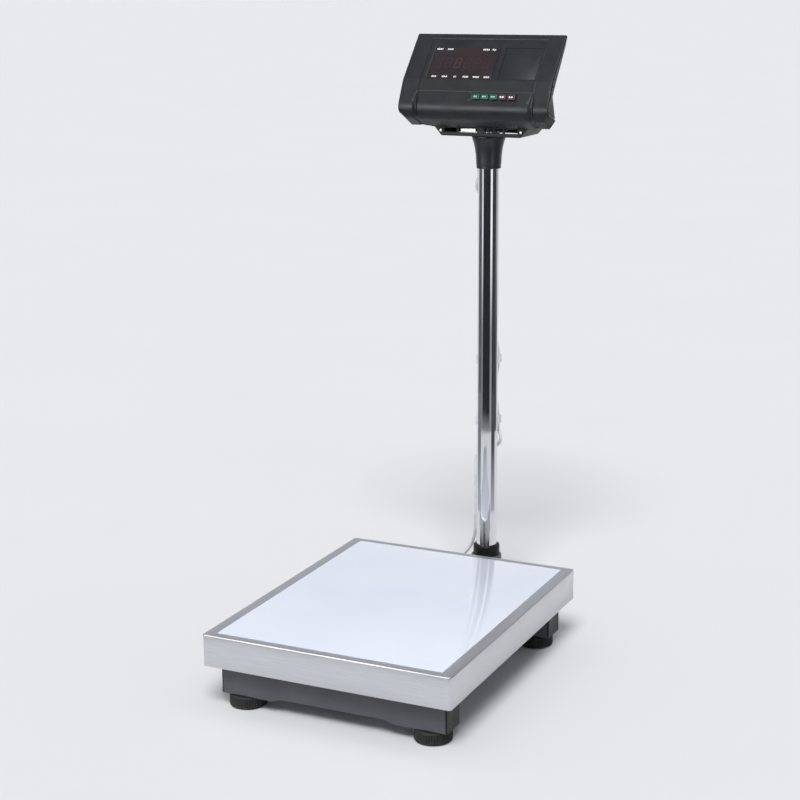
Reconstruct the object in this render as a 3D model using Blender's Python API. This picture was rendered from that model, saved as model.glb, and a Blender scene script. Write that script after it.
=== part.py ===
"""Platform shipping scale: a lift-off pan on a load cell, an H-shaped base on four levelling feet, and a
pole that carries a tilting indicator. Metres, +Z up, +X to the right, +Y to the back, z = 0 is the floor."""

import math

import bmesh
import bpy
from mathutils import Matrix, Vector

GAP = 0.0003  # between pieces that touch

# Pan
PAN_WIDTH = 0.400
PAN_DEPTH = 0.500
DECK_HEIGHT = 0.120
SKIRT_HEIGHT = 0.050
PAN_WALL = 0.002
PAN_CORNER = 0.005
RIM_SIDE = 0.018
RIM_FRONT = 0.014
SHEET_PROUD = 0.0005
SHEET_RECESS = 0.0012

# Base
TUBE_HALF = 0.183
TUBE_DEPTH = 0.046
TUBE_TOP = 0.070
TUBE_WALL = 0.0025
TUBE_INSET = 0.025
RELIEF = 0.005
RELIEF_HALF = 0.085
RELIEF_SLOPE = 0.015
FOOT_HEIGHT = 0.020
FOOT_RADIUS = 0.028
FOOT_X = 0.152
STUD_RADIUS = 0.006
STOP_X = 0.148
BEAM_HALF = 0.035
BEAM_BOTTOM = 0.024
BEAM_TOP = 0.054
SPACER = 0.004
CELL_LENGTH = 0.150
CELL_WIDTH = 0.040
CELL_HEIGHT = 0.030
FRAME_X = 0.150
FRAME_HALF_LENGTH = 0.225
FRAME_RAIL = 0.030
FRAME_HEIGHT = 0.020

# Pole
POLE_RADIUS = 0.0175
POLE_WALL = 0.0015
POLE_SETBACK = 0.1085  # axis behind the pan's rear edge
POLE_FOOT = 0.032
SLEEVE_RADIUS = 0.0178
ARM_HALF = 0.025
ARM_BOTTOM = 0.026
ARM_TOP = 0.066
SOCKET_RADIUS = 0.026
SOCKET_TOP = 0.085
COLLAR_RADIUS = 0.0225
COLLAR_TOP = 0.103
NECK_BOTTOM = 0.750
NECK_TOP = 0.803
NECK_BORE_TOP = 0.795
NECK_KNOB_Z = 0.765

# Indicator, in Y and Z from its tilt axis
PIVOT_HEIGHT = 0.820
CASE_HALF = 0.131
CASE_BACK = 0.052
CASE_WALL = 0.0025
SHELL_DEPTH = 0.018
FACE_TOP = (0.0095, 0.146)
DISPLAY_SLOPE = math.radians(48.4)
DISPLAY_LENGTH = 0.095
KEY_SLOPE = math.radians(62.8)
KEY_LENGTH = 0.0394
UNDER_SLOPE = math.radians(26.6)
UNDER_LENGTH = 0.0266
LIP_RADIUS = 0.022
CORNER_X = 0.120  # where the lower corners start to rise
CORNER_LIFT = 0.5
DRAFT = 0.4  # how far the sides lean in for each unit of depth
POCKET_CEILING = 0.0198
RIM_DEPTH = 0.016
SPLIT_GAP = 0.0010  # between the two shells, whose lower corners are warped

# Cable
CABLE_RADIUS = 0.00275
CABLE_SPACING = 0.0145
CABLE_HOLE = 0.0045
GLAND_Z = 0.047
GLAND_SETBACK = 0.055  # in front of the pole axis
CLIP_HEIGHTS = (0.322, 0.428)
CLIP_CABLE_ANGLE = 60
CLIP_CABLE_RADIUS = 0.0228
SLOT_ANGLE = 172
SLOT_HALF = 0.0036
SLOT_BOTTOM = 0.7285
SLOT_TOP = 0.747

FRONT_Y = -(PAN_DEPTH + POLE_SETBACK + CASE_BACK) / 2
PAN_Y = FRONT_Y + PAN_DEPTH / 2
POLE_Y = FRONT_Y + PAN_DEPTH + POLE_SETBACK
TUBE_OFFSET = PAN_DEPTH / 2 - TUBE_INSET - TUBE_DEPTH / 2
CELL_BOTTOM = BEAM_TOP + SPACER + 2 * GAP
CELL_TOP = CELL_BOTTOM + CELL_HEIGHT
FRAME_BOTTOM = CELL_TOP + SPACER + 2 * GAP
FRAME_TOP = FRAME_BOTTOM + FRAME_HEIGHT
PAN_TOP = DECK_HEIGHT - SHEET_PROUD
PAN_UNDERSIDE = PAN_TOP - SHEET_RECESS - PAN_WALL


def clear_scene():
    for obj in list(bpy.data.objects):
        bpy.data.objects.remove(obj, do_unlink=True)


def material(name, color, roughness, metallic=0.0):
    found = bpy.data.materials.get(name)
    if found:
        return found
    made = bpy.data.materials.new(name)
    made.use_nodes = True
    shader = made.node_tree.nodes["Principled BSDF"]
    shader.inputs["Base Color"].default_value = (*color, 1.0)
    shader.inputs["Roughness"].default_value = roughness
    shader.inputs["Metallic"].default_value = metallic
    return made


def slate_paint():
    return material("slate_paint", (0.085, 0.09, 0.11), 0.45)


def zinc():
    return material("zinc", (0.55, 0.56, 0.58), 0.4, 1.0)


def chrome():
    return material("chrome", (0.75, 0.75, 0.77), 0.08, 1.0)


def brushed_steel():
    return material("brushed_steel", (0.55, 0.55, 0.58), 0.35, 1.0)


def aluminium():
    return material("aluminium", (0.62, 0.63, 0.65), 0.4, 1.0)


def white_gloss():
    return material("white_gloss", (0.76, 0.78, 0.86), 0.12)


def black_rubber():
    return material("black_rubber", (0.02, 0.02, 0.022), 0.75)


def black_plastic():
    return material("black_plastic", (0.028, 0.028, 0.03), 0.45)


def charcoal_plastic():
    return material("charcoal_plastic", (0.05, 0.054, 0.06), 0.5)


def smoked_red():
    return material("smoked_red", (0.05, 0.015, 0.018), 0.12)


def label_film():
    return material("label_film", (0.035, 0.037, 0.042), 0.35)


def key_plastic():
    return material("key_plastic", (0.25, 0.32, 0.3), 0.4)


def circuit_board():
    return material("circuit_board", (0.03, 0.16, 0.07), 0.5)


def cable_grey():
    return material("cable_grey", (0.62, 0.63, 0.64), 0.5)


def empty(name, location, parent=None):
    made = bpy.data.objects.new(name, None)
    made.location = location
    made.parent = parent
    made.empty_display_size = 0.03
    bpy.context.collection.objects.link(made)
    return made


def piece(name, mesh, finish, parent, origin=(0, 0, 0)):
    """An object whose mesh is drawn in its parent's space and whose own origin is at origin."""
    bmesh.ops.translate(mesh, vec=-Vector(origin), verts=mesh.verts)
    data = bpy.data.meshes.new(name)
    mesh.to_mesh(data)
    mesh.free()
    data.shade_smooth()
    data.set_sharp_from_angle(angle=math.radians(32))
    data.materials.append(finish)
    made = bpy.data.objects.new(name, data)
    made.location = origin
    made.parent = parent
    bpy.context.collection.objects.link(made)
    return made


def combine(target, operation, *meshes):
    """Joins meshes to an object, or cuts them from it, drawn in the same space as its own mesh."""
    for mesh in meshes:
        number = len(target.modifiers)
        name = f"{target.name}_tool_{number}"
        tool = piece(name, mesh, target.data.materials[0], target.parent, target.location)
        tool.hide_render = True
        tool.display_type = "WIRE"
        modifier = target.modifiers.new(f"{operation.lower()}_{number}", "BOOLEAN")
        modifier.operation = operation
        modifier.object = tool


def cut(target, *meshes):
    combine(target, "DIFFERENCE", *meshes)


def join(target, *meshes):
    combine(target, "UNION", *meshes)


def soften(target, width, segments=2):
    modifier = target.modifiers.new("edges", "BEVEL")
    modifier.width = width
    modifier.segments = segments
    modifier.limit_method = "ANGLE"
    modifier.angle_limit = math.radians(40)


def loft(rings):
    """A closed solid through rings of points, each ring with the same number of points."""
    mesh = bmesh.new()
    rows = [[mesh.verts.new(point) for point in ring] for ring in rings]
    count = len(rows[0])
    for row, after in zip(rows, rows[1:]):
        for i in range(count):
            j = (i + 1) % count
            mesh.faces.new((row[i], row[j], after[j], after[i]))
    mesh.faces.new(rows[0][::-1])
    mesh.faces.new(rows[-1])
    bmesh.ops.recalc_face_normals(mesh, faces=mesh.faces)
    return mesh


def along_x(outline, low, high):
    return loft([[(x, y, z) for y, z in outline] for x in (low, high)])


def along_y(outline, low, high):
    return loft([[(x, y, z) for x, z in outline] for y in (low, high)])


def along_z(outline, low, high):
    return loft([[(x, y, z) for x, y in outline] for z in (low, high)])


def box(x, y, z):
    return along_z([(x[0], y[0]), (x[1], y[0]), (x[1], y[1]), (x[0], y[1])], *z)


def circle(radius, sides, centre=(0, 0)):
    turns = [math.tau * (i + 0.5) / sides for i in range(sides)]
    return [(centre[0] + radius * math.cos(t), centre[1] + radius * math.sin(t)) for t in turns]


def rounded_rectangle(half_x, half_y, radius, centre=(0, 0), steps=4):
    points = []
    for corner, (side_x, side_y) in enumerate(((1, 1), (-1, 1), (-1, -1), (1, -1))):
        for step in range(steps + 1):
            turn = math.pi / 2 * (corner + step / steps)
            points.append(
                (
                    centre[0] + side_x * (half_x - radius) + radius * math.cos(turn),
                    centre[1] + side_y * (half_y - radius) + radius * math.sin(turn),
                )
            )
    return points


def turned(profile, sides, centre=(0, 0)):
    """A solid of revolution about Z from a profile of (radius, z) that ends on the axis at both ends."""
    mesh = bmesh.new()
    points = [mesh.verts.new((radius, 0, z)) for radius, z in profile]
    edges = [mesh.edges.new(pair) for pair in zip(points, points[1:])]
    if profile[0][0] > 0:
        edges.append(mesh.edges.new((points[-1], points[0])))
    bmesh.ops.spin(
        mesh,
        geom=points + edges,
        cent=(0, 0, 0),
        axis=(0, 0, 1),
        angle=math.tau,
        steps=sides,
        use_merge=True,
    )
    bmesh.ops.remove_doubles(mesh, verts=mesh.verts, dist=1e-6)
    bmesh.ops.recalc_face_normals(mesh, faces=mesh.faces)
    bmesh.ops.translate(mesh, vec=(*centre, 0), verts=mesh.verts)
    return mesh


def ring_arc(inner, outer, start, end, low, high, steps=16):
    """Part of a ring about Z, from one angle to another in degrees."""
    turns = [math.radians(start + (end - start) * i / steps) for i in range(steps + 1)]
    outside = [(outer * math.cos(t), outer * math.sin(t)) for t in turns]
    inside = [(inner * math.cos(t), inner * math.sin(t)) for t in reversed(turns)]
    return along_z(outside + inside, low, high)


def turned_to(mesh, direction, place):
    """Turns a mesh drawn along +Z to point along a direction, and moves its origin to a place."""
    turn = Vector((0, 0, 1)).rotation_difference(Vector(direction)).to_matrix().to_4x4()
    bmesh.ops.transform(mesh, matrix=Matrix.Translation(place) @ turn, verts=mesh.verts)
    return mesh


def bar(radius, low, high, direction, place, sides=16):
    return turned_to(along_z(circle(radius, sides), low, high), direction, place)


def bolt(name, place, direction, head, shank, parent, finish, sides=6):
    """A hexagon head or a round knob of (radius, length), with its shank pointing along a direction."""
    head_radius, head_length = head
    shank_radius, shank_length = shank
    body = bar(head_radius, -head_length, 0, direction, place, sides)
    made = piece(name, body, finish, parent, place)
    join(made, bar(shank_radius, -head_length / 2, shank_length, direction, place, 12))
    return made


# Base frame


def cross_tube(name, offset, parent):
    """A hollow rectangular tube along X with closed ends, its lower edge raised between the feet."""
    low = FOOT_HEIGHT
    half = TUBE_DEPTH / 2
    edge = RELIEF_HALF + RELIEF_SLOPE
    stations = (
        (-TUBE_HALF, low),
        (-edge, low),
        (-RELIEF_HALF, low + RELIEF),
        (RELIEF_HALF, low + RELIEF),
        (edge, low),
        (TUBE_HALF, low),
    )

    def rings(wall):
        made = []
        for x, bottom in stations:
            reach = x - math.copysign(wall, x) if abs(x) == TUBE_HALF else x
            sides = (offset - half + wall, offset + half - wall)
            heights = (bottom + wall, TUBE_TOP - wall)
            corners = ((0, 0), (1, 0), (1, 1), (0, 1))
            made.append([(reach, PAN_Y + sides[i], heights[j]) for i, j in corners])
        return made

    tube = piece(name, loft(rings(0)), slate_paint(), parent)
    cut(tube, loft(rings(TUBE_WALL)))
    for side in (-1, 1):
        centre = (side * FOOT_X, PAN_Y + offset)
        cut(tube, along_z(circle(STUD_RADIUS + 0.0006, 20, centre), low - 0.001, low + 0.004))
    return tube


def base_frame(parent):
    cross_tube("front_cross_tube", -TUBE_OFFSET, parent)
    rear = cross_tube("rear_cross_tube", TUBE_OFFSET, parent)
    cable_hole = bar(CABLE_HOLE, -TUBE_DEPTH, TUBE_DEPTH, (0, 1, 0), (0.008, PAN_Y + TUBE_OFFSET, 0.058))
    cut(rear, cable_hole)
    half_length = TUBE_OFFSET - TUBE_DEPTH / 2 - GAP
    span = (PAN_Y - half_length, PAN_Y + half_length)
    beam = box((-BEAM_HALF, BEAM_HALF), span, (BEAM_BOTTOM, BEAM_TOP))
    beam = piece("centre_beam", beam, slate_paint(), parent)
    inside = (BEAM_BOTTOM - 0.001, BEAM_TOP - 0.003)
    cut(beam, box((-BEAM_HALF + 0.003, BEAM_HALF - 0.003), (span[0] + 0.003, span[1] - 0.003), inside))


def load_cell(parent):
    """A single-point cell: its rear end stands on the beam and its front end carries the top frame."""
    half = CELL_WIDTH / 2
    ends = (PAN_Y - CELL_LENGTH / 2, PAN_Y + CELL_LENGTH / 2)
    body = box((-half, half), ends, (CELL_BOTTOM, CELL_TOP))
    cell = piece("load_cell", body, aluminium(), parent)
    middle = (CELL_BOTTOM + CELL_TOP) / 2
    for side in (-1, 1):
        cut(cell, bar(0.009, -half - 0.001, half + 0.001, (1, 0, 0), (0, PAN_Y + side * 0.016, middle)))
    through = (-half - 0.001, half + 0.001)
    cut(cell, box(through, (PAN_Y - 0.016, PAN_Y + 0.016), (middle - 0.004, middle + 0.004)))
    pad = 0.040
    lower = box((-half, half), (ends[1] - pad, ends[1]), (BEAM_TOP + GAP, BEAM_TOP + GAP + SPACER))
    piece("lower_spacer", lower, zinc(), parent)
    upper = box((-half, half), (ends[0], ends[0] + pad), (CELL_TOP + GAP, CELL_TOP + GAP + SPACER))
    piece("upper_spacer", upper, zinc(), parent)


def top_frame(parent):
    """Two open-ended side rails joined by a plate over the load cell."""
    ends = (PAN_Y - FRAME_HALF_LENGTH, PAN_Y + FRAME_HALF_LENGTH)
    half = FRAME_RAIL / 2
    plate = box((-FRAME_X, FRAME_X), (PAN_Y - 0.085, PAN_Y + 0.085), (FRAME_BOTTOM, FRAME_BOTTOM + 0.006))
    frame = piece("top_frame", plate, slate_paint(), parent)
    wall = 0.0025
    for side in (-1, 1):
        x = side * FRAME_X
        join(frame, box((x - half, x + half), ends, (FRAME_BOTTOM, FRAME_TOP)))
    for side in (-1, 1):
        x = side * FRAME_X
        hollow = (FRAME_BOTTOM + wall, FRAME_TOP - wall)
        cut(frame, box((x - half + wall, x + half - wall), (ends[0] - 0.002, ends[1] + 0.002), hollow))
    return frame


CORNERS = (("front_left", -1, -1), ("front_right", 1, -1), ("rear_left", -1, 1), ("rear_right", 1, 1))


def corner_pieces(parent):
    """A rubber pad under the pan, an overload stop and a threaded nut at every corner."""
    for corner, side, end in CORNERS:
        y = PAN_Y + end * TUBE_OFFSET
        pad = along_z(circle(0.012, 20, (side * FRAME_X, y)), FRAME_TOP + GAP, PAN_UNDERSIDE - GAP)
        piece(f"pan_pad_{corner}", pad, black_rubber(), parent)
        stop_length = FRAME_BOTTOM - 0.0012 - TUBE_TOP - GAP - 0.007
        place = (side * STOP_X, y, TUBE_TOP + GAP + 0.007)
        shank = (0.005, stop_length)
        bolt(f"overload_stop_{corner}", place, (0, 0, 1), (0.009, 0.007), shank, parent, zinc())
        floor = FOOT_HEIGHT + TUBE_WALL + GAP
        nut = along_z(circle(0.011, 6, (side * FOOT_X, y)), floor, floor + 0.010)
        nut = piece(f"foot_nut_{corner}", nut, zinc(), parent)
        bore = circle(STUD_RADIUS + GAP, 20, (side * FOOT_X, y))
        cut(nut, along_z(bore, floor - 0.001, floor + 0.011))


def levelling_foot(corner, place, parent):
    """A sole that stays flat on the floor and a ribbed foot with its stud, which turns on the sole."""
    axis = empty(f"foot_axis_{corner}", place, parent)
    rim = 0.0013
    seat = 0.0052
    sole_radius = 0.025
    sole = [(0, 0), (sole_radius - rim, 0), (sole_radius, rim), (sole_radius, seat - GAP), (0, seat - GAP)]
    piece(f"sole_{corner}", turned(sole, 24), black_rubber(), axis)
    top = FOOT_HEIGHT - GAP
    bore = sole_radius + GAP
    profile = [
        (0, seat),
        (bore, seat),
        (bore, rim),
        (FOOT_RADIUS - 2 * rim, rim),
        (FOOT_RADIUS, 3 * rim),
        (FOOT_RADIUS, top - rim),
        (FOOT_RADIUS - rim, top),
        (STUD_RADIUS, top),
        (STUD_RADIUS, 0.045),
        (STUD_RADIUS - 0.001, 0.046),
        (0, 0.046),
    ]
    piece(f"foot_{corner}", turned(profile, 32), black_rubber(), axis)


def feet(parent):
    for corner, side, end in CORNERS:
        levelling_foot(corner, (side * FOOT_X, PAN_Y + end * TUBE_OFFSET, 0), parent)


# Pan


def weighing_pan(parent):
    """A folded steel tray, open below, with a shallow recess on top for the sheet."""
    half_x = PAN_WIDTH / 2
    half_y = PAN_DEPTH / 2
    outline = rounded_rectangle(half_x, half_y, PAN_CORNER, (0, PAN_Y))
    folded = along_z(outline, DECK_HEIGHT - SKIRT_HEIGHT, PAN_TOP)
    pan = piece("weighing_pan", folded, brushed_steel(), parent)
    soften(pan, 0.0009)
    inner = rounded_rectangle(half_x - PAN_WALL, half_y - PAN_WALL, PAN_CORNER - PAN_WALL, (0, PAN_Y))
    cut(pan, along_z(inner, DECK_HEIGHT - SKIRT_HEIGHT - 0.002, PAN_UNDERSIDE))
    floor = PAN_TOP - SHEET_RECESS
    recess = rounded_rectangle(half_x - RIM_SIDE, half_y - RIM_FRONT, 0.002, (0, PAN_Y), 2)
    cut(pan, along_z(recess, floor, DECK_HEIGHT + 0.002))
    sheet = rounded_rectangle(half_x - RIM_SIDE - GAP, half_y - RIM_FRONT - GAP, 0.002, (0, PAN_Y), 2)
    piece("pan_top_sheet", along_z(sheet, floor + GAP, DECK_HEIGHT), white_gloss(), parent)


# Pole, in X and Y from its axis


def pole_arm(parent):
    """A hollow arm from the rear cross tube with an upright socket, bored for the pole and its clamp bolt."""
    front = PAN_Y + TUBE_OFFSET + TUBE_DEPTH / 2 + GAP - POLE_Y
    body = box((-ARM_HALF, ARM_HALF), (front, 0), (ARM_BOTTOM, ARM_TOP))
    arm = piece("pole_arm", body, slate_paint(), parent)
    join(arm, along_z(circle(SOCKET_RADIUS, 32), ARM_BOTTOM, SOCKET_TOP))
    wall = TUBE_WALL
    inside = (ARM_BOTTOM + wall, ARM_TOP - wall)
    cut(arm, box((wall - ARM_HALF, ARM_HALF - wall), (front - 0.002, -SOCKET_RADIUS - 0.003), inside))
    cut(arm, along_z(circle(SLEEVE_RADIUS, 32), POLE_FOOT, SOCKET_TOP + 0.002))
    cut(arm, bar(0.0043, 0.010, 0.030, (0, 1, 0), (0, 0, 0.074)))
    cut(arm, bar(CABLE_HOLE, 0.020, 0.030, (-1, 0, 0), (0, -GLAND_SETBACK, GLAND_Z)))
    bolt(
        "pole_clamp_bolt",
        (0, SOCKET_RADIUS + GAP, 0.074),
        (0, -1, 0),
        (0.0075, 0.0055),
        (0.004, SOCKET_RADIUS - POLE_RADIUS - 0.0005),
        parent,
        zinc(),
    )


def pole(parent):
    collar = [
        (SLEEVE_RADIUS, SOCKET_TOP + GAP),
        (COLLAR_RADIUS, SOCKET_TOP + GAP),
        (COLLAR_RADIUS, COLLAR_TOP - 0.0015),
        (COLLAR_RADIUS - 0.0015, COLLAR_TOP),
        (SLEEVE_RADIUS, COLLAR_TOP),
    ]
    piece("pole_collar", turned(collar, 32), black_plastic(), parent)
    bottom = POLE_FOOT + GAP
    top = NECK_BORE_TOP - GAP
    inner = POLE_RADIUS - POLE_WALL
    tube = turned([(inner, bottom), (POLE_RADIUS, bottom), (POLE_RADIUS, top), (inner, top)], 32)
    tube = piece("pole_tube", tube, chrome(), parent)
    cut(tube, slot_cutter(SLOT_HALF, SLOT_BOTTOM, SLOT_TOP))


def slot_cutter(half_width, low, high):
    """A box through one wall of the pole, where the cable goes in."""
    body = box((0.010, 0.026), (-half_width, half_width), (low, high))
    turn = Matrix.Rotation(math.radians(SLOT_ANGLE), 3, "Z")
    bmesh.ops.rotate(body, cent=(0, 0, 0), matrix=turn, verts=body.verts)
    return body


def cable_grommet(parent):
    flange = ring_arc(SLEEVE_RADIUS, 0.0187, SLOT_ANGLE - 20, SLOT_ANGLE + 20, 0.724, NECK_BOTTOM - GAP, 8)
    grommet = piece("cable_grommet", flange, cable_grey(), parent)
    cut(grommet, slot_cutter(SLOT_HALF + 0.0001, 0.722, SLOT_TOP))


def cable_gland(parent):
    """A hexagon with a tapered nose, bored for the cable, on the arm's left side."""
    place = (-ARM_HALF - GAP, -GLAND_SETBACK, GLAND_Z)
    body = turned_to(along_z(circle(0.009, 6), 0, 0.006), (-1, 0, 0), place)
    gland = piece("cable_gland", body, black_plastic(), parent)
    nose = turned([(0, 0.003), (0.0078, 0.003), (0.0078, 0.011), (0.0055, 0.017), (0, 0.017)], 20)
    join(gland, turned_to(nose, (-1, 0, 0), place))
    cut(gland, bar(CABLE_RADIUS + 0.0004, -0.002, 0.020, (-1, 0, 0), place))


def cable_clips(parent):
    """C-clips that snap round the pole, each with an eye for the cable."""
    turn = math.radians(CLIP_CABLE_ANGLE)
    centre = (CLIP_CABLE_RADIUS * math.cos(turn), CLIP_CABLE_RADIUS * math.sin(turn))
    for number, height in enumerate(CLIP_HEIGHTS, 1):
        low = height - 0.007
        high = height + 0.007
        ring = ring_arc(SLEEVE_RADIUS, 0.0196, 17, 207, low, high)
        clip = piece(f"cable_clip_{number}", ring, cable_grey(), parent)
        join(clip, along_z(circle(0.0056, 16, centre), low, high))
        cut(clip, along_z(circle(0.0041, 16, centre), low - 0.001, high + 0.001))
        cut(clip, along_z(circle(SLEEVE_RADIUS, 32), low - 0.001, high + 0.001))


def polar(angle, radius, z):
    turn = math.radians(angle)
    return (radius * math.cos(turn), radius * math.sin(turn), z)


def cable_route():
    """The load cell cable, from the pole's axis: through the arm, up behind the pole and in."""
    cell = PAN_Y - POLE_Y
    exit_y = cell + CELL_LENGTH / 2 + 0.0004
    tube_y = cell + TUBE_OFFSET
    points = [
        (0, exit_y, 0.067),
        (0.002, exit_y + 0.020, 0.0655),
        (0.006, exit_y + 0.050, 0.061),
        (0.008, exit_y + 0.080, 0.0583),
        (0.008, tube_y - 0.012, 0.058),
        (0.008, tube_y + 0.012, 0.058),
        (0.0085, tube_y + 0.040, 0.0555),
        (0.0085, -0.088, 0.050),
        (0.005, -0.069, 0.0478),
        (-0.006, -0.0575, GLAND_Z),
        (-0.020, -GLAND_SETBACK, GLAND_Z),
        (-0.034, -GLAND_SETBACK, GLAND_Z),
        (-0.048, -GLAND_SETBACK, GLAND_Z),
        (-0.061, -0.0505, 0.0485),
        (-0.067, -0.037, 0.054),
        (-0.061, -0.019, 0.063),
        (-0.048, -0.005, 0.074),
        (-0.036, 0.0025, 0.087),
        (-0.0285, 0.004, 0.100),
        polar(173, 0.0245, 0.113),
        polar(175, 0.0213, 0.130),
        polar(177, 0.0210, 0.160),
        polar(177, 0.0210, 0.200),
        polar(176, 0.0214, 0.232),
        polar(160, 0.0228, 0.255),
        polar(114, 0.0230, 0.267),
        polar(68, 0.0232, 0.274),
        polar(40, 0.0242, 0.288),
        polar(53, CLIP_CABLE_RADIUS, 0.305),
        polar(CLIP_CABLE_ANGLE, CLIP_CABLE_RADIUS, 0.315),
        polar(CLIP_CABLE_ANGLE, CLIP_CABLE_RADIUS, 0.330),
        polar(68, 0.0225, 0.350),
        polar(82, 0.0222, 0.376),
        polar(68, 0.0225, 0.402),
        polar(CLIP_CABLE_ANGLE, CLIP_CABLE_RADIUS, 0.420),
        polar(CLIP_CABLE_ANGLE, CLIP_CABLE_RADIUS, 0.436),
        polar(78, 0.0225, 0.470),
        polar(102, 0.0215, 0.520),
        polar(114, 0.0212, 0.580),
        polar(120, 0.0212, 0.640),
        polar(138, 0.0216, 0.685),
        polar(160, 0.0225, 0.710),
    ]
    entry = 0.720
    rise = 0.050
    for step in range(5):
        share = step / 4
        points.append(polar(SLOT_ANGLE, 0.0114 * (1 + math.cos(math.pi * share)), entry + rise * share))
    points.append((0, 0, 0.795))
    points.append((0, 0, PIVOT_HEIGHT - 0.002))
    return points


def smooth_points(points, spacing):
    """Points at about an even spacing along a Catmull-Rom curve through the route's own points."""
    route = [Vector(point) for point in points]
    before = [2 * route[0] - route[1], *route, 2 * route[-1] - route[-2]]
    fine = []
    for a, b, c, d in zip(before, before[1:], before[2:], before[3:]):
        for step in range(12):
            t = step / 12
            fine.append(
                0.5
                * (2 * b + (c - a) * t + (2 * a - 5 * b + 4 * c - d) * t**2 + (3 * b - a - 3 * c + d) * t**3)
            )
    fine.append(route[-1])
    lengths = [0.0]
    for start, end in zip(fine, fine[1:]):
        lengths.append(lengths[-1] + (end - start).length)
    count = max(2, round(lengths[-1] / spacing))
    made = []
    index = 0
    for step in range(count + 1):
        wanted = lengths[-1] * step / count
        while index < len(lengths) - 2 and lengths[index + 1] < wanted:
            index += 1
        share = (wanted - lengths[index]) / (lengths[index + 1] - lengths[index])
        made.append(fine[index].lerp(fine[index + 1], min(1.0, share)))
    return made


def cable(name, points, parent):
    curve = bpy.data.curves.new(name, "CURVE")
    curve.dimensions = "3D"
    curve.bevel_depth = CABLE_RADIUS
    curve.bevel_resolution = 2
    curve.use_fill_caps = True
    places = smooth_points(points, CABLE_SPACING)
    spline = curve.splines.new("POLY")
    spline.points.add(len(places) - 1)
    for point, place in zip(spline.points, places):
        point.co = (*place, 1.0)
    curve.materials.append(cable_grey())
    made = bpy.data.objects.new(name, curve)
    made.parent = parent
    bpy.context.collection.objects.link(made)


# Neck, in X and Y from the pole's axis and in Z from the floor


def neck(parent):
    """A socket over the pole's top, flared at its own top, with two ears for the tilt bolts."""
    profile = [
        (SLEEVE_RADIUS, NECK_BOTTOM),
        (0.0203, NECK_BOTTOM),
        (0.0207, 0.757),
        (0.0212, 0.768),
        (0.0223, 0.779),
        (0.0243, 0.789),
        (0.0268, 0.797),
        (0.0280, 0.8015),
        (0.0276, NECK_TOP),
        (STUD_RADIUS, NECK_TOP),
        (STUD_RADIUS, NECK_BORE_TOP),
        (SLEEVE_RADIUS, NECK_BORE_TOP),
    ]
    socket = piece("neck_socket", turned(profile, 32), black_plastic(), parent)
    for side in (-1, 1):
        span = sorted((side * 0.009, side * 0.015))
        join(socket, along_x(ear_outline(0.012, PIVOT_HEIGHT, NECK_TOP - 0.004), *span))
    cut(socket, bar(0.0043, -0.020, 0.020, (1, 0, 0), (0, 0, PIVOT_HEIGHT)))
    cut(socket, bar(0.0033, 0.015, 0.030, (0, 1, 0), (0, 0, NECK_KNOB_Z)))


def ear_outline(radius, centre, foot, side=1):
    """In Y and Z: a half circle about a pivot, and straight down or up from it to its foot."""
    arc = [math.pi * step / 8 for step in range(9)]
    top = [(radius * math.cos(t), centre + side * radius * math.sin(t)) for t in arc]
    return top + [(-radius, foot), (radius, foot)]


def knob(name, place, direction, radius, length, shank, parent):
    bolt(name, place, direction, (radius, length), shank, parent, black_plastic(), 20)


# Indicator, in space of its tilt axis


def on_face(start, slope, along, depth):
    """A point in Y and Z: along a sloped plane from its start, and in from its surface."""
    return (
        start[0] + along * math.cos(slope) + depth * math.sin(slope),
        start[1] + along * math.sin(slope) - depth * math.cos(slope),
    )


FOLD = on_face(FACE_TOP, DISPLAY_SLOPE, -DISPLAY_LENGTH, 0)
KEY_END = on_face(FOLD, KEY_SLOPE, -KEY_LENGTH, 0)
LIP_CENTRE = on_face(KEY_END, KEY_SLOPE, 0, LIP_RADIUS)


def face_path(depth, top_trim=0.0, low_trim=0.0):
    """The casing's front outline in Y and Z, top to bottom, set in by a depth and shortened at its ends."""
    bend = (KEY_SLOPE - DISPLAY_SLOPE) / 2
    path = [on_face(FACE_TOP, DISPLAY_SLOPE, -top_trim, depth)]
    path.append(on_face(FOLD, DISPLAY_SLOPE + bend, 0, depth / math.cos(bend)))
    radius = LIP_RADIUS - depth
    first = KEY_SLOPE + math.pi / 2
    last = math.pi * 1.5 - UNDER_SLOPE
    steps = 5
    for step in range(steps + 1):
        turn = first + (last - first) * step / steps
        path.append((LIP_CENTRE[0] + radius * math.cos(turn), LIP_CENTRE[1] + radius * math.sin(turn)))
    run = UNDER_LENGTH - low_trim
    path.append((path[-1][0] + run * math.cos(UNDER_SLOPE), path[-1][1] - run * math.sin(UNDER_SLOPE)))
    return path


def raised(x, y, z):
    """Lifts a low point near the casing's sides, which rounds off its lower corners."""
    share = max(0.0, (abs(x) - CORNER_X) / (CASE_HALF - CORNER_X))
    return (x, y, z + CORNER_LIFT * share * max(0.0, LIP_CENTRE[1] - z))


def case_loft(right):
    """A solid through rings of points, given from the inside out for one side and mirrored to the other."""
    left = [[(-x, y, z) for x, y, z in ring] for ring in reversed(right)]
    mesh = loft([[raised(*point) for point in ring] for ring in left + right])
    bmesh.ops.triangulate(mesh, faces=mesh.faces, quad_method="SHORT_EDGE")
    return mesh


def at_x(x, outline):
    return [(x, y, z) for y, z in outline]


def face_box(start, slope, x, along, depth):
    """A box set square to a sloped plane of the face."""
    corners = ((along[0], depth[0]), (along[1], depth[0]), (along[1], depth[1]), (along[0], depth[1]))
    return along_x([on_face(start, slope, a, d) for a, d in corners], *x)


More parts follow.
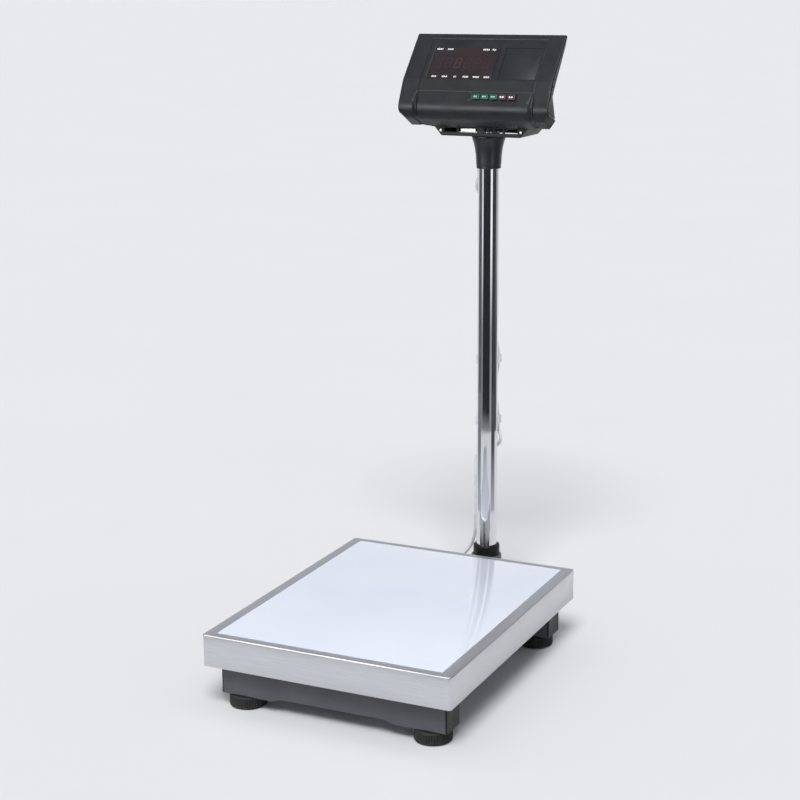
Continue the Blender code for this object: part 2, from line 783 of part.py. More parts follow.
WINDOW_X = (-0.0885, 0.0235)
LABEL_X = (0.035, 0.098)
WINDOW_ALONG = (0.003, 0.066)
KEY_COUNT = 5
KEY_PITCH = 0.0152
KEY_FIRST_X = 0.0044
KEY_HALF = 0.0065
KEY_HALF_TALL = 0.0043
KEY_FLANGE = 0.0005
KEY_ALONG = -0.028


def front_shell(parent):
    face = face_path(0)
    rim = face_path(SHELL_DEPTH)[::-1]
    end = at_x(CASE_HALF, face) + at_x(CASE_HALF - DRAFT * SHELL_DEPTH, rim)
    shell = piece("front_shell", case_loft([at_x(CORNER_X, face + rim), end]), charcoal_plastic(), parent)
    face = face_path(CASE_WALL, CASE_WALL, CASE_WALL)
    beyond = SHELL_DEPTH + 0.003
    rim = face_path(beyond, CASE_WALL, CASE_WALL)[::-1]
    reach = CASE_HALF - 1.1 * CASE_WALL
    end = at_x(reach - DRAFT * CASE_WALL, face) + at_x(reach - DRAFT * beyond, rim)
    cut(shell, case_loft([at_x(CORNER_X - 0.002, face + rim), end]))
    through = (-0.002, CASE_WALL + 0.002)
    cut(shell, face_box(FOLD, DISPLAY_SLOPE, WINDOW_X, WINDOW_ALONG, through))
    cut(shell, face_box(FOLD, DISPLAY_SLOPE, LABEL_X, WINDOW_ALONG, (-0.002, 0.0011)))
    for centre in key_centres():
        x = (centre - KEY_HALF - GAP, centre + KEY_HALF + GAP)
        along = (KEY_ALONG - KEY_HALF_TALL - GAP, KEY_ALONG + KEY_HALF_TALL + GAP)
        cut(shell, face_box(FOLD, KEY_SLOPE, x, along, through))


def key_centres():
    return [KEY_FIRST_X + KEY_PITCH * i for i in range(KEY_COUNT)]


def rear_section(depth, wall, share):
    """The rear shell's outline: the face path, and a back that shrinks towards it with the share."""
    front = face_path(depth, 0.0015 + wall, wall - 1.3 * GAP)
    low = front[-1]
    top = front[0]
    heel = face_path(0, 0, -1.3 * GAP)[-1]
    back = [
        (heel[0] + 1.5 * wall, heel[1] + wall, low),
        (0.045 - wall, heel[1] + wall, low),
        (CASE_BACK - wall, 0.008 + wall / 2, front[4]),
        (CASE_BACK - wall, 0.095 - wall / 2, front[1]),
        (0.034 - wall, 0.124 - wall, top),
    ]
    return front + [(py + share * (y - py), pz + share * (z - pz)) for y, z, (py, pz) in back]


def rear_shell(parent):
    split = SHELL_DEPTH + SPLIT_GAP
    outer = []
    for x, share in ((0.086, 1.0), (0.104, 0.54), (CORNER_X, 0.145), (0.1233, 0.06)):
        warp_gap = 0.1 * max(0.0, x - CORNER_X)
        outer.append(at_x(x, rear_section(split + warp_gap, 0, share)))
    shell = piece("rear_shell", case_loft(outer), charcoal_plastic(), parent)
    stations = ((0.084, 1.0), (0.102, 0.49), (0.1185, 0.13))
    inner = [at_x(x, rear_section(split - 0.003, CASE_WALL, share)) for x, share in stations]
    cut(shell, case_loft(inner))
    rim = [(-0.083, 0.0), (-0.069, -RIM_DEPTH), (0.069, -RIM_DEPTH), (0.083, 0.0)]
    join(shell, along_y(rim, -0.0362, 0.045))
    housing = 0.045
    join(shell, box((-housing, housing), (-0.0285, 0.045), (-0.003, POCKET_CEILING + CASE_WALL)))
    below = -RIM_DEPTH - 0.001
    shallow = [(-0.0775, -0.0025), (-0.0655, below), (0.0655, below), (0.0775, -0.0025)]
    cut(shell, along_y(shallow, -0.0337, 0.0425))
    cut(shell, box((CASE_WALL - housing, housing - CASE_WALL), (-0.026, 0.0425), (-0.005, POCKET_CEILING)))
    cut(shell, along_z(circle(CABLE_HOLE, 16), POCKET_CEILING - 0.001, POCKET_CEILING + 0.004))
    back = (CASE_BACK - 0.006, CASE_BACK + 0.002)
    cut(shell, box((-0.070, 0.014), back, (0.030, 0.084)))
    cut(shell, box((0.046, 0.074), back, (0.066, 0.086)))
    door = box((-0.070 + GAP, 0.014 - GAP), (CASE_BACK - 0.0024, CASE_BACK), (0.030 + GAP, 0.084 - GAP))
    piece("battery_door", door, charcoal_plastic(), parent)
    inlet = box((0.046 + GAP, 0.074 - GAP), (0.036, CASE_BACK), (0.066 + GAP, 0.086 - GAP))
    inlet = piece("mains_inlet", inlet, black_plastic(), parent)
    cut(inlet, box((0.049, 0.071), (0.038, CASE_BACK + 0.001), (0.069, 0.083)))


def face_pieces(parent):
    x = (WINDOW_X[0] + GAP, WINDOW_X[1] - GAP)
    along = (WINDOW_ALONG[0] + GAP, WINDOW_ALONG[1] - GAP)
    window = face_box(FOLD, DISPLAY_SLOPE, x, along, (0.0003, 0.0022))
    piece("display_window", window, smoked_red(), parent)
    label = face_box(FOLD, DISPLAY_SLOPE, (LABEL_X[0] + GAP, LABEL_X[1] - GAP), along, (0.0002, 0.0008))
    piece("label_panel", label, label_film(), parent)
    for number, centre in enumerate(key_centres(), 1):
        cap_x = (centre - KEY_HALF, centre + KEY_HALF)
        cap_along = (KEY_ALONG - KEY_HALF_TALL, KEY_ALONG + KEY_HALF_TALL)
        cap = face_box(FOLD, KEY_SLOPE, cap_x, cap_along, (-0.0014, 0.0045))
        place = on_face(FOLD, KEY_SLOPE, KEY_ALONG, 0)
        key = piece(f"key_{number}", cap, key_plastic(), parent, (centre, *place))
        flange_x = (cap_x[0] - KEY_FLANGE, cap_x[1] + KEY_FLANGE)
        flange_along = (cap_along[0] - KEY_FLANGE, cap_along[1] + KEY_FLANGE)
        flange = face_box(FOLD, KEY_SLOPE, flange_x, flange_along, (CASE_WALL + GAP, 0.004))
        join(key, flange)


def electronics(parent):
    board = face_box(FOLD, DISPLAY_SLOPE, (-0.091, 0.021), (0.005, 0.063), (0.0098, 0.0114))
    board = piece("display_board", board, circuit_board(), parent)
    join(board, face_box(FOLD, DISPLAY_SLOPE, (-0.085, 0.015), (0.020, 0.048), (0.0035, 0.0105)))
    keys = face_box(FOLD, KEY_SLOPE, (-0.010, 0.080), (-0.038, -0.016), (0.0075, 0.0091))
    piece("key_board", keys, circuit_board(), parent)
    board = box((-0.060, 0.082), (-0.012, -0.0104), (0.024, 0.088))
    main = piece("main_board", board, circuit_board(), parent)
    join(main, box((-0.008, 0.008), (-0.011, -0.0035), (0.0475, 0.058)))
    piece("battery", box((-0.078, 0.022), (0.005, 0.0485), (0.0235, 0.090)), black_plastic(), parent)
    core = piece("transformer", box((0.036, 0.078), (0.008, 0.044), (0.028, 0.054)), zinc(), parent)
    join(core, box((0.044, 0.070), (0.012, 0.040), (0.0235, 0.060)))


def tilt_joint(parent):
    """A folded bracket under the casing, and the bolt and the knob that it tilts on."""
    plate = box((-0.028, 0.028), (-0.014, 0.014), (0.0168, 0.0193))
    bracket = piece("tilt_bracket", plate, zinc(), parent)
    for side in (-1, 1):
        span = sorted((side * 0.0153, side * 0.0178))
        join(bracket, along_x(ear_outline(0.011, 0, 0.018, -1), *span))
    cut(bracket, bar(0.0043, -0.020, 0.020, (1, 0, 0), (0, 0, 0)))
    cut(bracket, along_z(circle(CABLE_HOLE, 16), 0.016, 0.020))
    place = 0.0178 + GAP
    bolt("tilt_bolt", (-place, 0, 0), (1, 0, 0), (0.0065, 0.005), (0.004, place - 0.0087), parent, zinc())
    knob("tilt_knob", (place, 0, 0), (-1, 0, 0), 0.010, 0.013, (0.004, place - 0.0087), parent)


def cable_tail(parent):
    """From the swivel axis up through the bracket and the casing's floor to the main board's socket."""
    points = [
        (0, 0, GAP),
        (0, 0, 0.010),
        (0, 0, 0.021),
        (0, -0.0018, 0.030),
        (0, -0.0050, 0.038),
        (0, -0.0066, 0.0455),
    ]
    cable("cable_tail", points, parent)


def build():
    clear_scene()
    base = empty("base", (0, 0, 0))
    base_frame(base)
    load_cell(base)
    top_frame(base)
    corner_pieces(base)
    feet(base)
    weighing_pan(empty("pan_lift", (0, 0, 0), base))
    pole_axis = empty("pole_axis", (0, POLE_Y, 0), base)
    pole_arm(pole_axis)
    pole(pole_axis)
    cable_gland(pole_axis)
    cable_clips(pole_axis)
    cable_grommet(pole_axis)
    cable("load_cell_cable", cable_route(), pole_axis)
    swivel = empty("neck_swivel", (0, 0, 0), pole_axis)
    neck(swivel)
    knob("neck_knob", (0, 0.0235, NECK_KNOB_Z), (0, -1, 0), 0.009, 0.011, (0.003, 0.0055), swivel)
    tilt = empty("indicator_tilt", (0, 0, PIVOT_HEIGHT), swivel)
    front_shell(tilt)
    rear_shell(tilt)
    face_pieces(tilt)
    electronics(tilt)
    tilt_joint(tilt)
    cable_tail(tilt)


build()
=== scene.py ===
"""The looks of a platform shipping scale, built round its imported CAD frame. Metres, +Z up, +Y to the back."""

import math

import bmesh
import bpy
from mathutils import Matrix, Vector


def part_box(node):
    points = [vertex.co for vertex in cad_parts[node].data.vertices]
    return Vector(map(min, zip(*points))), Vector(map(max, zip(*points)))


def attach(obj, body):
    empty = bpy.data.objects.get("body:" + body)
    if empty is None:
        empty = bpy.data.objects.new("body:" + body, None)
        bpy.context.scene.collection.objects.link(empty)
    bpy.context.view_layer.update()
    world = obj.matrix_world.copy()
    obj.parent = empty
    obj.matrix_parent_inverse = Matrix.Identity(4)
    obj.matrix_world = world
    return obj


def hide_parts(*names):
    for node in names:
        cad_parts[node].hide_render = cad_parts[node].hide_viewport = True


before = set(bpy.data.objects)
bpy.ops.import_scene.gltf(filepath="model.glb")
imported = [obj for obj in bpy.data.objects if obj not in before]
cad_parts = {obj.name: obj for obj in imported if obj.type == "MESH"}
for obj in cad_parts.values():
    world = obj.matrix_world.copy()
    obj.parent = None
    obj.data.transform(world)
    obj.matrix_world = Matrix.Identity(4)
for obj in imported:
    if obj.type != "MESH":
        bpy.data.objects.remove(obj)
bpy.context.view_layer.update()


def middle(node):
    low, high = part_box(node)
    return (low + high) / 2


# Places and sizes read from the frame

POLE = middle("pole_tube").xy
POLE_RADIUS = (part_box("pole_tube")[1].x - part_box("pole_tube")[0].x) / 2
PIVOT = Vector((0, POLE.y, middle("tilt_knob").z))
PAN_LOW, PAN_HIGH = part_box("weighing_pan")
PAN_CENTRE = middle("weighing_pan").xy
PAN_HALF_DEPTH = (PAN_HIGH.y - PAN_LOW.y) / 2
CASE_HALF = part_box("front_shell")[1].x
CASE_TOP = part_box("front_shell")[1].z - PIVOT.z
CORNERS = ("front_left", "front_right", "rear_left", "rear_right")
SIDES = ((-1, "left"), (1, "right"))

# Sizes that the frame's boxes don't show

GAP = 0.0003  # between pieces that meet
DISPLAY_SLOPE = math.radians(48.4)
DISPLAY_LENGTH = 0.095
KEY_SLOPE = math.radians(62.8)
KEY_LENGTH = 0.0394
LIP_RADIUS = 0.022
UNDER_SLOPE = math.radians(26.6)
UNDER_LENGTH = 0.0266
FACE_TOP_Y = 0.0095
SHELL_DEPTH = 0.018
CORNER_X = 0.120
CORNER_LIFT = 0.5
DRAFT = 0.4
FOLD_RADIUS = 0.012
BACK_RELIEF = 0.0011  # room for what stands proud of the casing's back, inside the CAD box
BACK_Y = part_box("rear_shell")[1].y - PIVOT.y - BACK_RELIEF
BORE = POLE_RADIUS + GAP
CABLE_RADIUS = 0.00275
CLIP_REACH = 0.0228
CLIP_BEARING = 60
SLOT_BEARING = 172


# Materials


def principled(name, color, roughness, metallic=0.0, **sockets):
    """A material with its constants on the shader's own sockets."""
    made = bpy.data.materials.new(name)
    made.use_nodes = True
    shader = made.node_tree.nodes["Principled BSDF"]
    shader.inputs["Base Color"].default_value = (*color, 1.0)
    shader.inputs["Roughness"].default_value = roughness
    shader.inputs["Metallic"].default_value = metallic
    for socket, value in sockets.items():
        shader.inputs[socket.replace("_", " ")].default_value = value
    return made


def node(owner, kind, **settings):
    added = owner.node_tree.nodes.new(kind)
    for name, value in settings.items():
        setattr(added, name, value)
    return added


def link(owner, output, socket):
    owner.node_tree.links.new(output, socket)


def connect(made, output, socket):
    link(made, output, made.node_tree.nodes["Principled BSDF"].inputs[socket])


def noise(made, scale, stretch=(1, 1, 1), detail=4.0):
    """Noise over the object's own space, drawn out along an axis by a small stretch value."""
    mapping = node(made, "ShaderNodeMapping")
    mapping.inputs["Scale"].default_value = stretch
    link(made, node(made, "ShaderNodeTexCoord").outputs["Object"], mapping.inputs["Vector"])
    texture = node(made, "ShaderNodeTexNoise")
    for socket, value in (("Scale", scale), ("Detail", detail), ("Roughness", 0.55)):
        texture.inputs[socket].default_value = value
    link(made, mapping.outputs["Vector"], texture.inputs["Vector"])
    return texture.outputs["Fac"]


def ramp(owner, source, low, high, source_range=(0.35, 0.65)):
    """The source's values spread from a low to a high number."""
    added = node(owner, "ShaderNodeMapRange")
    for socket, value in zip(("From Min", "From Max", "To Min", "To Max"), (*source_range, low, high)):
        added.inputs[socket].default_value = value
    link(owner, source, added.inputs["Value"])
    return added.outputs["Result"]


def blend_colors(made, factor, first, second):
    mix = node(made, "ShaderNodeMix", data_type="RGBA")
    mix.inputs["A"].default_value = (*first, 1.0)
    mix.inputs["B"].default_value = (*second, 1.0)
    link(made, factor, mix.inputs["Factor"])
    return mix.outputs["Result"]


def tinted(made, texture, dark, light, source_range=(0.35, 0.65)):
    """Colours a surface between two tones, after a texture."""
    share = ramp(made, texture, 0.0, 1.0, source_range)
    connect(made, blend_colors(made, share, dark, light), "Base Color")


def glossed(made, texture, low, high):
    """Varies a surface's roughness between two values, after a texture."""
    connect(made, ramp(made, texture, low, high), "Roughness")


def bump(made, height, strength, distance):
    added = node(made, "ShaderNodeBump")
    added.inputs["Strength"].default_value = strength
    added.inputs["Distance"].default_value = distance
    link(made, height, added.inputs["Height"])
    connect(made, added.outputs["Normal"], "Normal")


def edge_wear(made, base, worn):
    """A colour that turns to a worn one on sharp edges, broken up by noise."""
    edges = ramp(made, node(made, "ShaderNodeNewGeometry").outputs["Pointiness"], 0.0, 0.4, (0.53, 0.62))
    broken = node(made, "ShaderNodeMath", operation="MULTIPLY")
    link(made, edges, broken.inputs[0])
    link(made, ramp(made, noise(made, 260.0), 0.2, 1.0), broken.inputs[1])
    mix = node(made, "ShaderNodeMix", data_type="RGBA")
    mix.inputs["B"].default_value = (*worn, 1.0)
    link(made, broken.outputs[0], mix.inputs["Factor"])
    link(made, base, mix.inputs["A"])
    connect(made, mix.outputs["Result"], "Base Color")


def painted(name, dark, light, roughness, grain, depth, specular=0.5):
    """A moulded or powder-coated surface: mottled colour, uneven gloss and a fine grain."""
    made = principled(name, dark, roughness, Specular_IOR_Level=specular)
    broad = ramp(made, noise(made, 14.0), 0.0, 1.0)
    edge_wear(made, blend_colors(made, broad, dark, light), [1.5 * part for part in light])
    glossed(made, noise(made, 32.0), roughness - 0.06, roughness + 0.08)
    bump(made, noise(made, grain, detail=2.0), 0.35, depth)
    return made


def brushed(name, dark, light, stretch, roughness, fine=2400.0):
    """Steel with fine lines along one direction."""
    made = principled(name, dark, roughness, 1.0)
    lines = noise(made, fine, stretch, detail=3.0)
    tinted(made, lines, dark, light, (0.3, 0.7))
    glossed(made, noise(made, 9.0), roughness - 0.05, roughness + 0.07)
    bump(made, lines, 0.12, 0.00004)
    return made


def make_chrome():
    made = principled("mirror_chrome", (0.74, 0.75, 0.77), 0.05, 1.0)
    tinted(made, noise(made, 22.0, (1, 1, 0.25)), (0.70, 0.71, 0.73), (0.78, 0.79, 0.80))
    glossed(made, noise(made, 90.0, (1, 1, 0.08)), 0.035, 0.085)
    bump(made, noise(made, 700.0, (1, 1, 0.03), detail=2.0), 0.03, 0.00002)
    return made


def make_white_gloss():
    made = principled("white_gloss_sheet", (0.76, 0.79, 0.88), 0.06, Coat_Weight=0.4, Coat_Roughness=0.03)
    tinted(made, noise(made, 5.0), (0.725, 0.767, 0.876), (0.775, 0.807, 0.898))
    glossed(made, noise(made, 60.0), 0.05, 0.10)
    bump(made, noise(made, 24.0, detail=1.0), 0.02, 0.0002)
    return made


def make_window():
    made = principled("smoked_red_window", (0.02, 0.010, 0.012), 0.14)
    tinted(made, noise(made, 18.0), (0.012, 0.0105, 0.0125), (0.026, 0.012, 0.0145))
    glossed(made, noise(made, 120.0), 0.12, 0.20)
    return made


def make_rubber(name, dark, light, roughness=0.72):
    made = principled(name, dark, roughness)
    tinted(made, noise(made, 55.0), dark, light)
    glossed(made, noise(made, 80.0), roughness - 0.08, roughness + 0.10)
    bump(made, noise(made, 900.0, detail=2.0), 0.3, 0.0001)
    return made


def make_board():
    """Green solder mask with paler tracks."""
    made = principled("solder_mask", (0.02, 0.13, 0.06), 0.35)
    tracks = noise(made, 300.0, (1, 0.15, 0.15), detail=1.0)
    tinted(made, tracks, (0.018, 0.11, 0.05), (0.03, 0.18, 0.08), (0.49, 0.52))
    return made


def make_floor():
    made = principled("pale_floor", (0.72, 0.72, 0.73), 0.9, Specular_IOR_Level=0.0)
    tinted(made, noise(made, 1.5), (0.722, 0.722, 0.732), (0.728, 0.728, 0.738))
    return made


CASING = painted(
    "charcoal_casing", (0.008, 0.0088, 0.0108), (0.012, 0.0132, 0.016), 0.44, 1500.0, 0.00005, 0.34
)
SLATE = painted("slate_powder_coat", (0.060, 0.063, 0.076), (0.078, 0.082, 0.096), 0.40, 1100.0, 0.00007)
BLACK = painted(
    "black_moulding", (0.005, 0.005, 0.0055), (0.009, 0.009, 0.0105), 0.40, 1300.0, 0.00004, 0.20
)
SATIN = painted("satin_black_neck", (0.013, 0.014, 0.016), (0.020, 0.022, 0.025), 0.33, 1200.0, 0.00004)
FILM = painted(
    "label_film_matte", (0.009, 0.0102, 0.013), (0.013, 0.0148, 0.018), 0.40, 1800.0, 0.00003, 0.36
)
LEGEND = painted("legend_ink", (0.70, 0.71, 0.72), (0.82, 0.82, 0.82), 0.5, 2000.0, 0.00002)
GREEN_KEY = painted("green_key_cap", (0.006, 0.050, 0.034), (0.010, 0.075, 0.048), 0.36, 1500.0, 0.00004)
MAROON_KEY = painted("maroon_key_cap", (0.040, 0.018, 0.022), (0.055, 0.024, 0.028), 0.36, 1500.0, 0.00004)
MINT_INK = painted("mint_ink", (0.16, 0.62, 0.42), (0.26, 0.72, 0.52), 0.5, 2000.0, 0.00002)
UNLIT = painted("dim_segment", (0.024, 0.012, 0.014), (0.030, 0.013, 0.016), 0.3, 1500.0, 0.00002)
LIT = painted("red_segment", (0.060, 0.013, 0.019), (0.078, 0.016, 0.023), 0.3, 1500.0, 0.00002)
RUBBER = make_rubber("black_rubber_skin", (0.005, 0.005, 0.0055), (0.012, 0.012, 0.0135))
CABLE_SKIN = make_rubber("pale_cable_skin", (0.55, 0.56, 0.57), (0.66, 0.67, 0.68), 0.45)
CHROME = make_chrome()
STEEL_X = brushed("brushed_steel_across", (0.60, 0.61, 0.64), (0.72, 0.73, 0.76), (0.012, 1, 1), 0.34)
STEEL_Y = brushed("brushed_steel_along", (0.60, 0.61, 0.64), (0.72, 0.73, 0.76), (1, 0.012, 1), 0.34)
ZINC = brushed("zinc_plate", (0.46, 0.47, 0.49), (0.60, 0.61, 0.62), (1, 1, 0.2), 0.36, 500.0)
ALUMINIUM = brushed("milled_aluminium", (0.58, 0.59, 0.61), (0.70, 0.71, 0.72), (1, 0.05, 1), 0.38, 900.0)
WHITE = make_white_gloss()
WINDOW = make_window()
BOARD = make_board()


# Mesh tools


def new_object(name, mesh, finish=None):
    """An object in the scene from a mesh, which it uses up."""
    data = bpy.data.meshes.new(name)
    mesh.to_mesh(data)
    mesh.free()
    if finish:
        data.materials.append(finish)
    made = bpy.data.objects.new(name, data)
    bpy.context.collection.objects.link(made)
    return made


def round_edges(piece, width, segments, angle=30, harden=False):
    rounding = piece.modifiers.new("rounding", "BEVEL")
    rounding.width = width
    rounding.segments = segments
    rounding.limit_method = "ANGLE"
    rounding.angle_limit = math.radians(angle)
    rounding.harden_normals = harden


def made_piece(name, mesh, finish, body, replaces=(), bevel=0.0, segments=3, smooth=35):
    """A mesh as a piece that rides on a body, with its sharp edges rounded by a bevel."""
    made = new_object(name, mesh, finish)
    made.data.shade_smooth()
    made.data.set_sharp_from_angle(angle=math.radians(smooth))
    if bevel:
        round_edges(made, bevel, segments, smooth, harden=True)
    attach(made, body)
    if replaces:
        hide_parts(*replaces)
    return made


def add_faces(mesh, rows, closed=True):
    """Faces between rows of vertices, leaving out corners that meet."""
    count = len(rows[0])
    for row, after in zip(rows, rows[1:]):
        for i in range(count if closed else count - 1):
            j = (i + 1) % count
            quad = [row[i], row[j], after[j], after[i]]
            corners = [v for k, v in enumerate(quad) if v not in quad[:k]]
            if len(corners) > 2:
                mesh.faces.new(corners)


def outward(mesh):
    bmesh.ops.recalc_face_normals(mesh, faces=mesh.faces)
    return mesh


def loft(rings):
    """A surface through rings of points, closed at both ends."""
    mesh = bmesh.new()
    rows = [[mesh.verts.new(point) for point in ring] for ring in rings]
    add_faces(mesh, rows)
    mesh.faces.new(rows[0][::-1])
    mesh.faces.new(rows[-1])
    return outward(mesh)


def turned(profile, sides=72, centre=(0, 0), flutes=0, flute_depth=0.0, fluted=(0.0, 0.0)):
    """A solid of revolution about Z from a profile of (radius, z), with flutes over part of its height."""
    mesh = bmesh.new()
    rows = []
    for radius, z in profile:
        if radius <= 0:
            rows.append([mesh.verts.new((*centre, z))] * sides)
            continue
        ring = []
        for i in range(sides):
            turn = math.tau * i / sides
            reach = radius
            if flutes and fluted[0] <= z <= fluted[1]:
                reach -= flute_depth * (0.5 - 0.5 * math.cos(flutes * turn)) ** 2
            x, y = centre[0] + reach * math.cos(turn), centre[1] + reach * math.sin(turn)
            ring.append(mesh.verts.new((x, y, z)))
        rows.append(ring)
    if profile[0][0] > 0:
        rows.append(rows[0])
    add_faces(mesh, rows)
    return outward(mesh)


def box_mesh(low, high):
    corners = [(low[0], low[1]), (high[0], low[1]), (high[0], high[1]), (low[0], high[1])]
    return prism(corners, low[2], high[2])


def rounded_rectangle(half_x, half_y, radius, centre=(0, 0), steps=8):
    points = []
    for corner, (side_x, side_y) in enumerate(((1, 1), (-1, 1), (-1, -1), (1, -1))):
        for step in range(steps + 1):
            turn = math.pi / 2 * (corner + step / steps)
            x = centre[0] + side_x * (half_x - radius) + radius * math.cos(turn)
            y = centre[1] + side_y * (half_y - radius) + radius * math.sin(turn)
            points.append((x, y))
    return points


def rounded_section(low, high, radius, steps=5):
    """A rounded rectangle between two corners."""
    centre = ((low[0] + high[0]) / 2, (low[1] + high[1]) / 2)
    return rounded_rectangle((high[0] - low[0]) / 2, (high[1] - low[1]) / 2, radius, centre, steps)


def polygon(radius, sides, start=0.5):
    turns = [math.tau * (i + start) / sides for i in range(sides)]
    return [(radius * math.cos(t), radius * math.sin(t)) for t in turns]


def arc(centre, radius, start, end, steps=5):
    """Points along an arc in a profile, its angles in degrees."""
    turns = [math.radians(start + (end - start) * i / steps) for i in range(steps + 1)]
    return [(centre[0] + radius * math.cos(t), centre[1] + radius * math.sin(t)) for t in turns]


def prism(outline, low, high):
    return loft([[(x, y, z) for x, y in outline] for z in (low, high)])


def hexagon(radius, rows, centre=(0, 0)):
    """A bolt's head or a nut, from rows of (share of the radius, z)."""
    rings = []
    for share, z in rows:
        rings.append([(centre[0] + share * x, centre[1] + share * y, z) for x, y in polygon(radius, 6)])
    return loft(rings)


def placed(mesh, place, direction=(0, 0, 1)):
    """Turns a mesh drawn along +Z to point along a direction, and moves its origin to a place."""
    turn = Vector((0, 0, 1)).rotation_difference(Vector(direction)).to_matrix().to_4x4()
    bmesh.ops.transform(mesh, matrix=Matrix.Translation(place) @ turn, verts=mesh.verts)
    return mesh


def rod(radius, start, length, direction):
    """A round rod from a place along a direction."""
    return placed(prism(polygon(radius, 32), 0, length), start, direction)


def together(*meshes):
    """Several meshes as one, each still its own closed surface."""
    whole = bmesh.new()
    for mesh in meshes:
        data = bpy.data.meshes.new("part")
        mesh.to_mesh(data)
        mesh.free()
        whole.from_mesh(data)
        bpy.data.meshes.remove(data)
    return whole


def cut_from(target, mesh, name):
    """Cuts a mesh from a piece that has no bevel yet, and applies the cut."""
    tool = new_object(name, mesh)
    tool_data = tool.data
    cutting = target.modifiers.new(name, "BOOLEAN")
    cutting.operation = "DIFFERENCE"
    cutting.object = tool
    bpy.context.view_layer.update()
    evaluated = target.evaluated_get(bpy.context.evaluated_depsgraph_get())
    old = target.data
    target.data = bpy.data.meshes.new_from_object(evaluated)
    target.data.name = old.name
    target.modifiers.remove(cutting)
    bpy.data.meshes.remove(old)
    bpy.data.objects.remove(tool, do_unlink=True)
    bpy.data.meshes.remove(tool_data)


def refined(source, finish, bevel, body):
    """A CAD node's own shape with its flat faces joined and its edges rounded."""
    mesh = bmesh.new()
    mesh.from_mesh(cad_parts[source].data)
    bmesh.ops.remove_doubles(mesh, verts=mesh.verts, dist=1e-6)
    bmesh.ops.dissolve_limit(mesh, angle_limit=math.radians(1), verts=mesh.verts, edges=mesh.edges)
    made_piece(f"{source}_finished", outward(mesh), finish, body, (source,), bevel, 2)


def polar(angle, radius, z):
    turn = math.radians(angle)
    return (radius * math.cos(turn), radius * math.sin(turn), z)


def smooth_path(route, steps=10):
    """Points along a Catmull-Rom curve through the route's own points."""
    before = [2 * route[0] - route[1], *route, 2 * route[-1] - route[-2]]
    fine = []
    for a, b, c, d in zip(before, before[1:], before[2:], before[3:]):
        for step in range(steps):
            t = step / steps
            cubic = (2 * a - 5 * b + 4 * c - d) * t**2 + (3 * b - a - 3 * c + d) * t**3
            fine.append(0.5 * (2 * b + (c - a) * t + cubic))
    return fine + [route[-1]]


def tube_along(path, radius, sides=20):
    """A tube whose rings turn as little as they can along the path."""
    rings = []
    ahead = (path[1] - path[0]).normalized()
    across = ahead.orthogonal().normalized()
    for i, point in enumerate(path):
        now = (path[min(i + 1, len(path) - 1)] - path[max(i - 1, 0)]).normalized()
        across = (ahead.rotation_difference(now) @ across).normalized()
        ahead = now
        other = ahead.cross(across)
        rings.append([point + radius * (x * across + y * other) for x, y in polygon(1.0, sides)])
    return loft(rings)


# Pan


def pan_ring(inset_x, inset_y, corner, z):
    outline = rounded_rectangle(PAN_HIGH.x - inset_x, PAN_HALF_DEPTH - inset_y, corner, PAN_CENTRE)
    return [(x, y, z) for x, y in outline]


def build_pan():
    """A folded tray: a skirt with a rolled bend, a flat rim, and a recess for the sheet."""
    wall = 0.002
    bend = 0.0022
    corner = 0.005
    sheet_low, sheet_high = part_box("pan_top_sheet")
    rim_x = PAN_HIGH.x - sheet_high.x - GAP
    rim_y = PAN_HIGH.y - sheet_high.y - GAP
    recess = PAN_HIGH.z - sheet_low.z + GAP
    skirt = ((wall, 0.0003), (wall - 0.0004, 0), (0.0004, 0), (0, 0.0004))
    rings = [pan_ring(inset, inset, corner - inset, PAN_LOW.z + rise) for inset, rise in skirt]
    for step in range(7):
        turn = math.pi / 2 * step / 6
        inset = bend * (1 - math.cos(turn))
        rings.append(pan_ring(inset, inset, corner - inset, PAN_HIGH.z - bend * (1 - math.sin(turn))))
    for inset, drop in ((-0.0012, 0), (-0.0003, 0.0001), (0, 0.0004), (0, recess)):
        rings.append(pan_ring(rim_x + inset, rim_y + inset, 0.002, PAN_HIGH.z - drop))
    mesh = bmesh.new()
    rows = [[mesh.verts.new(point) for point in ring] for ring in rings]
    underside = pan_ring(wall, wall, corner - wall, PAN_HIGH.z - recess - wall)
    ceiling = [mesh.verts.new(point) for point in underside]
    add_faces(mesh, rows)
    add_faces(mesh, [rows[0], ceiling])
    mesh.faces.new(rows[-1])
    mesh.faces.new(ceiling[::-1])
    pan = made_piece(
        "pan_folded_tray", outward(mesh), STEEL_X, "pan", ("weighing_pan",), smooth=50
    )
    pan.data.materials.append(STEEL_Y)
    for face in pan.data.polygons:
        side = abs(face.normal.x) > 0.7
        rim = face.normal.z > 0.9 and abs(face.center.x) > PAN_HIGH.x - rim_x and len(face.vertices) == 4
        flank = rim and abs(face.center.y - PAN_CENTRE.y) < PAN_HALF_DEPTH - rim_y
        face.material_index = int(side or flank)


def build_sheet():
    low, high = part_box("pan_top_sheet")
    edge = [(0.0002, low.z), (0, low.z + 0.0002), (0, high.z - 0.0004)]
    edge += [(0.00015, high.z - 0.0001), (0.0005, high.z)]
    rings = []
    for inset, z in edge:
        outline = rounded_rectangle(high.x - inset, (high.y - low.y) / 2 - inset, 0.0022 - inset, PAN_CENTRE)
        rings.append([(x, y, z) for x, y in outline])
    made_piece("pan_gloss_sheet", loft(rings), WHITE, "pan", ("pan_top_sheet",))


# Base


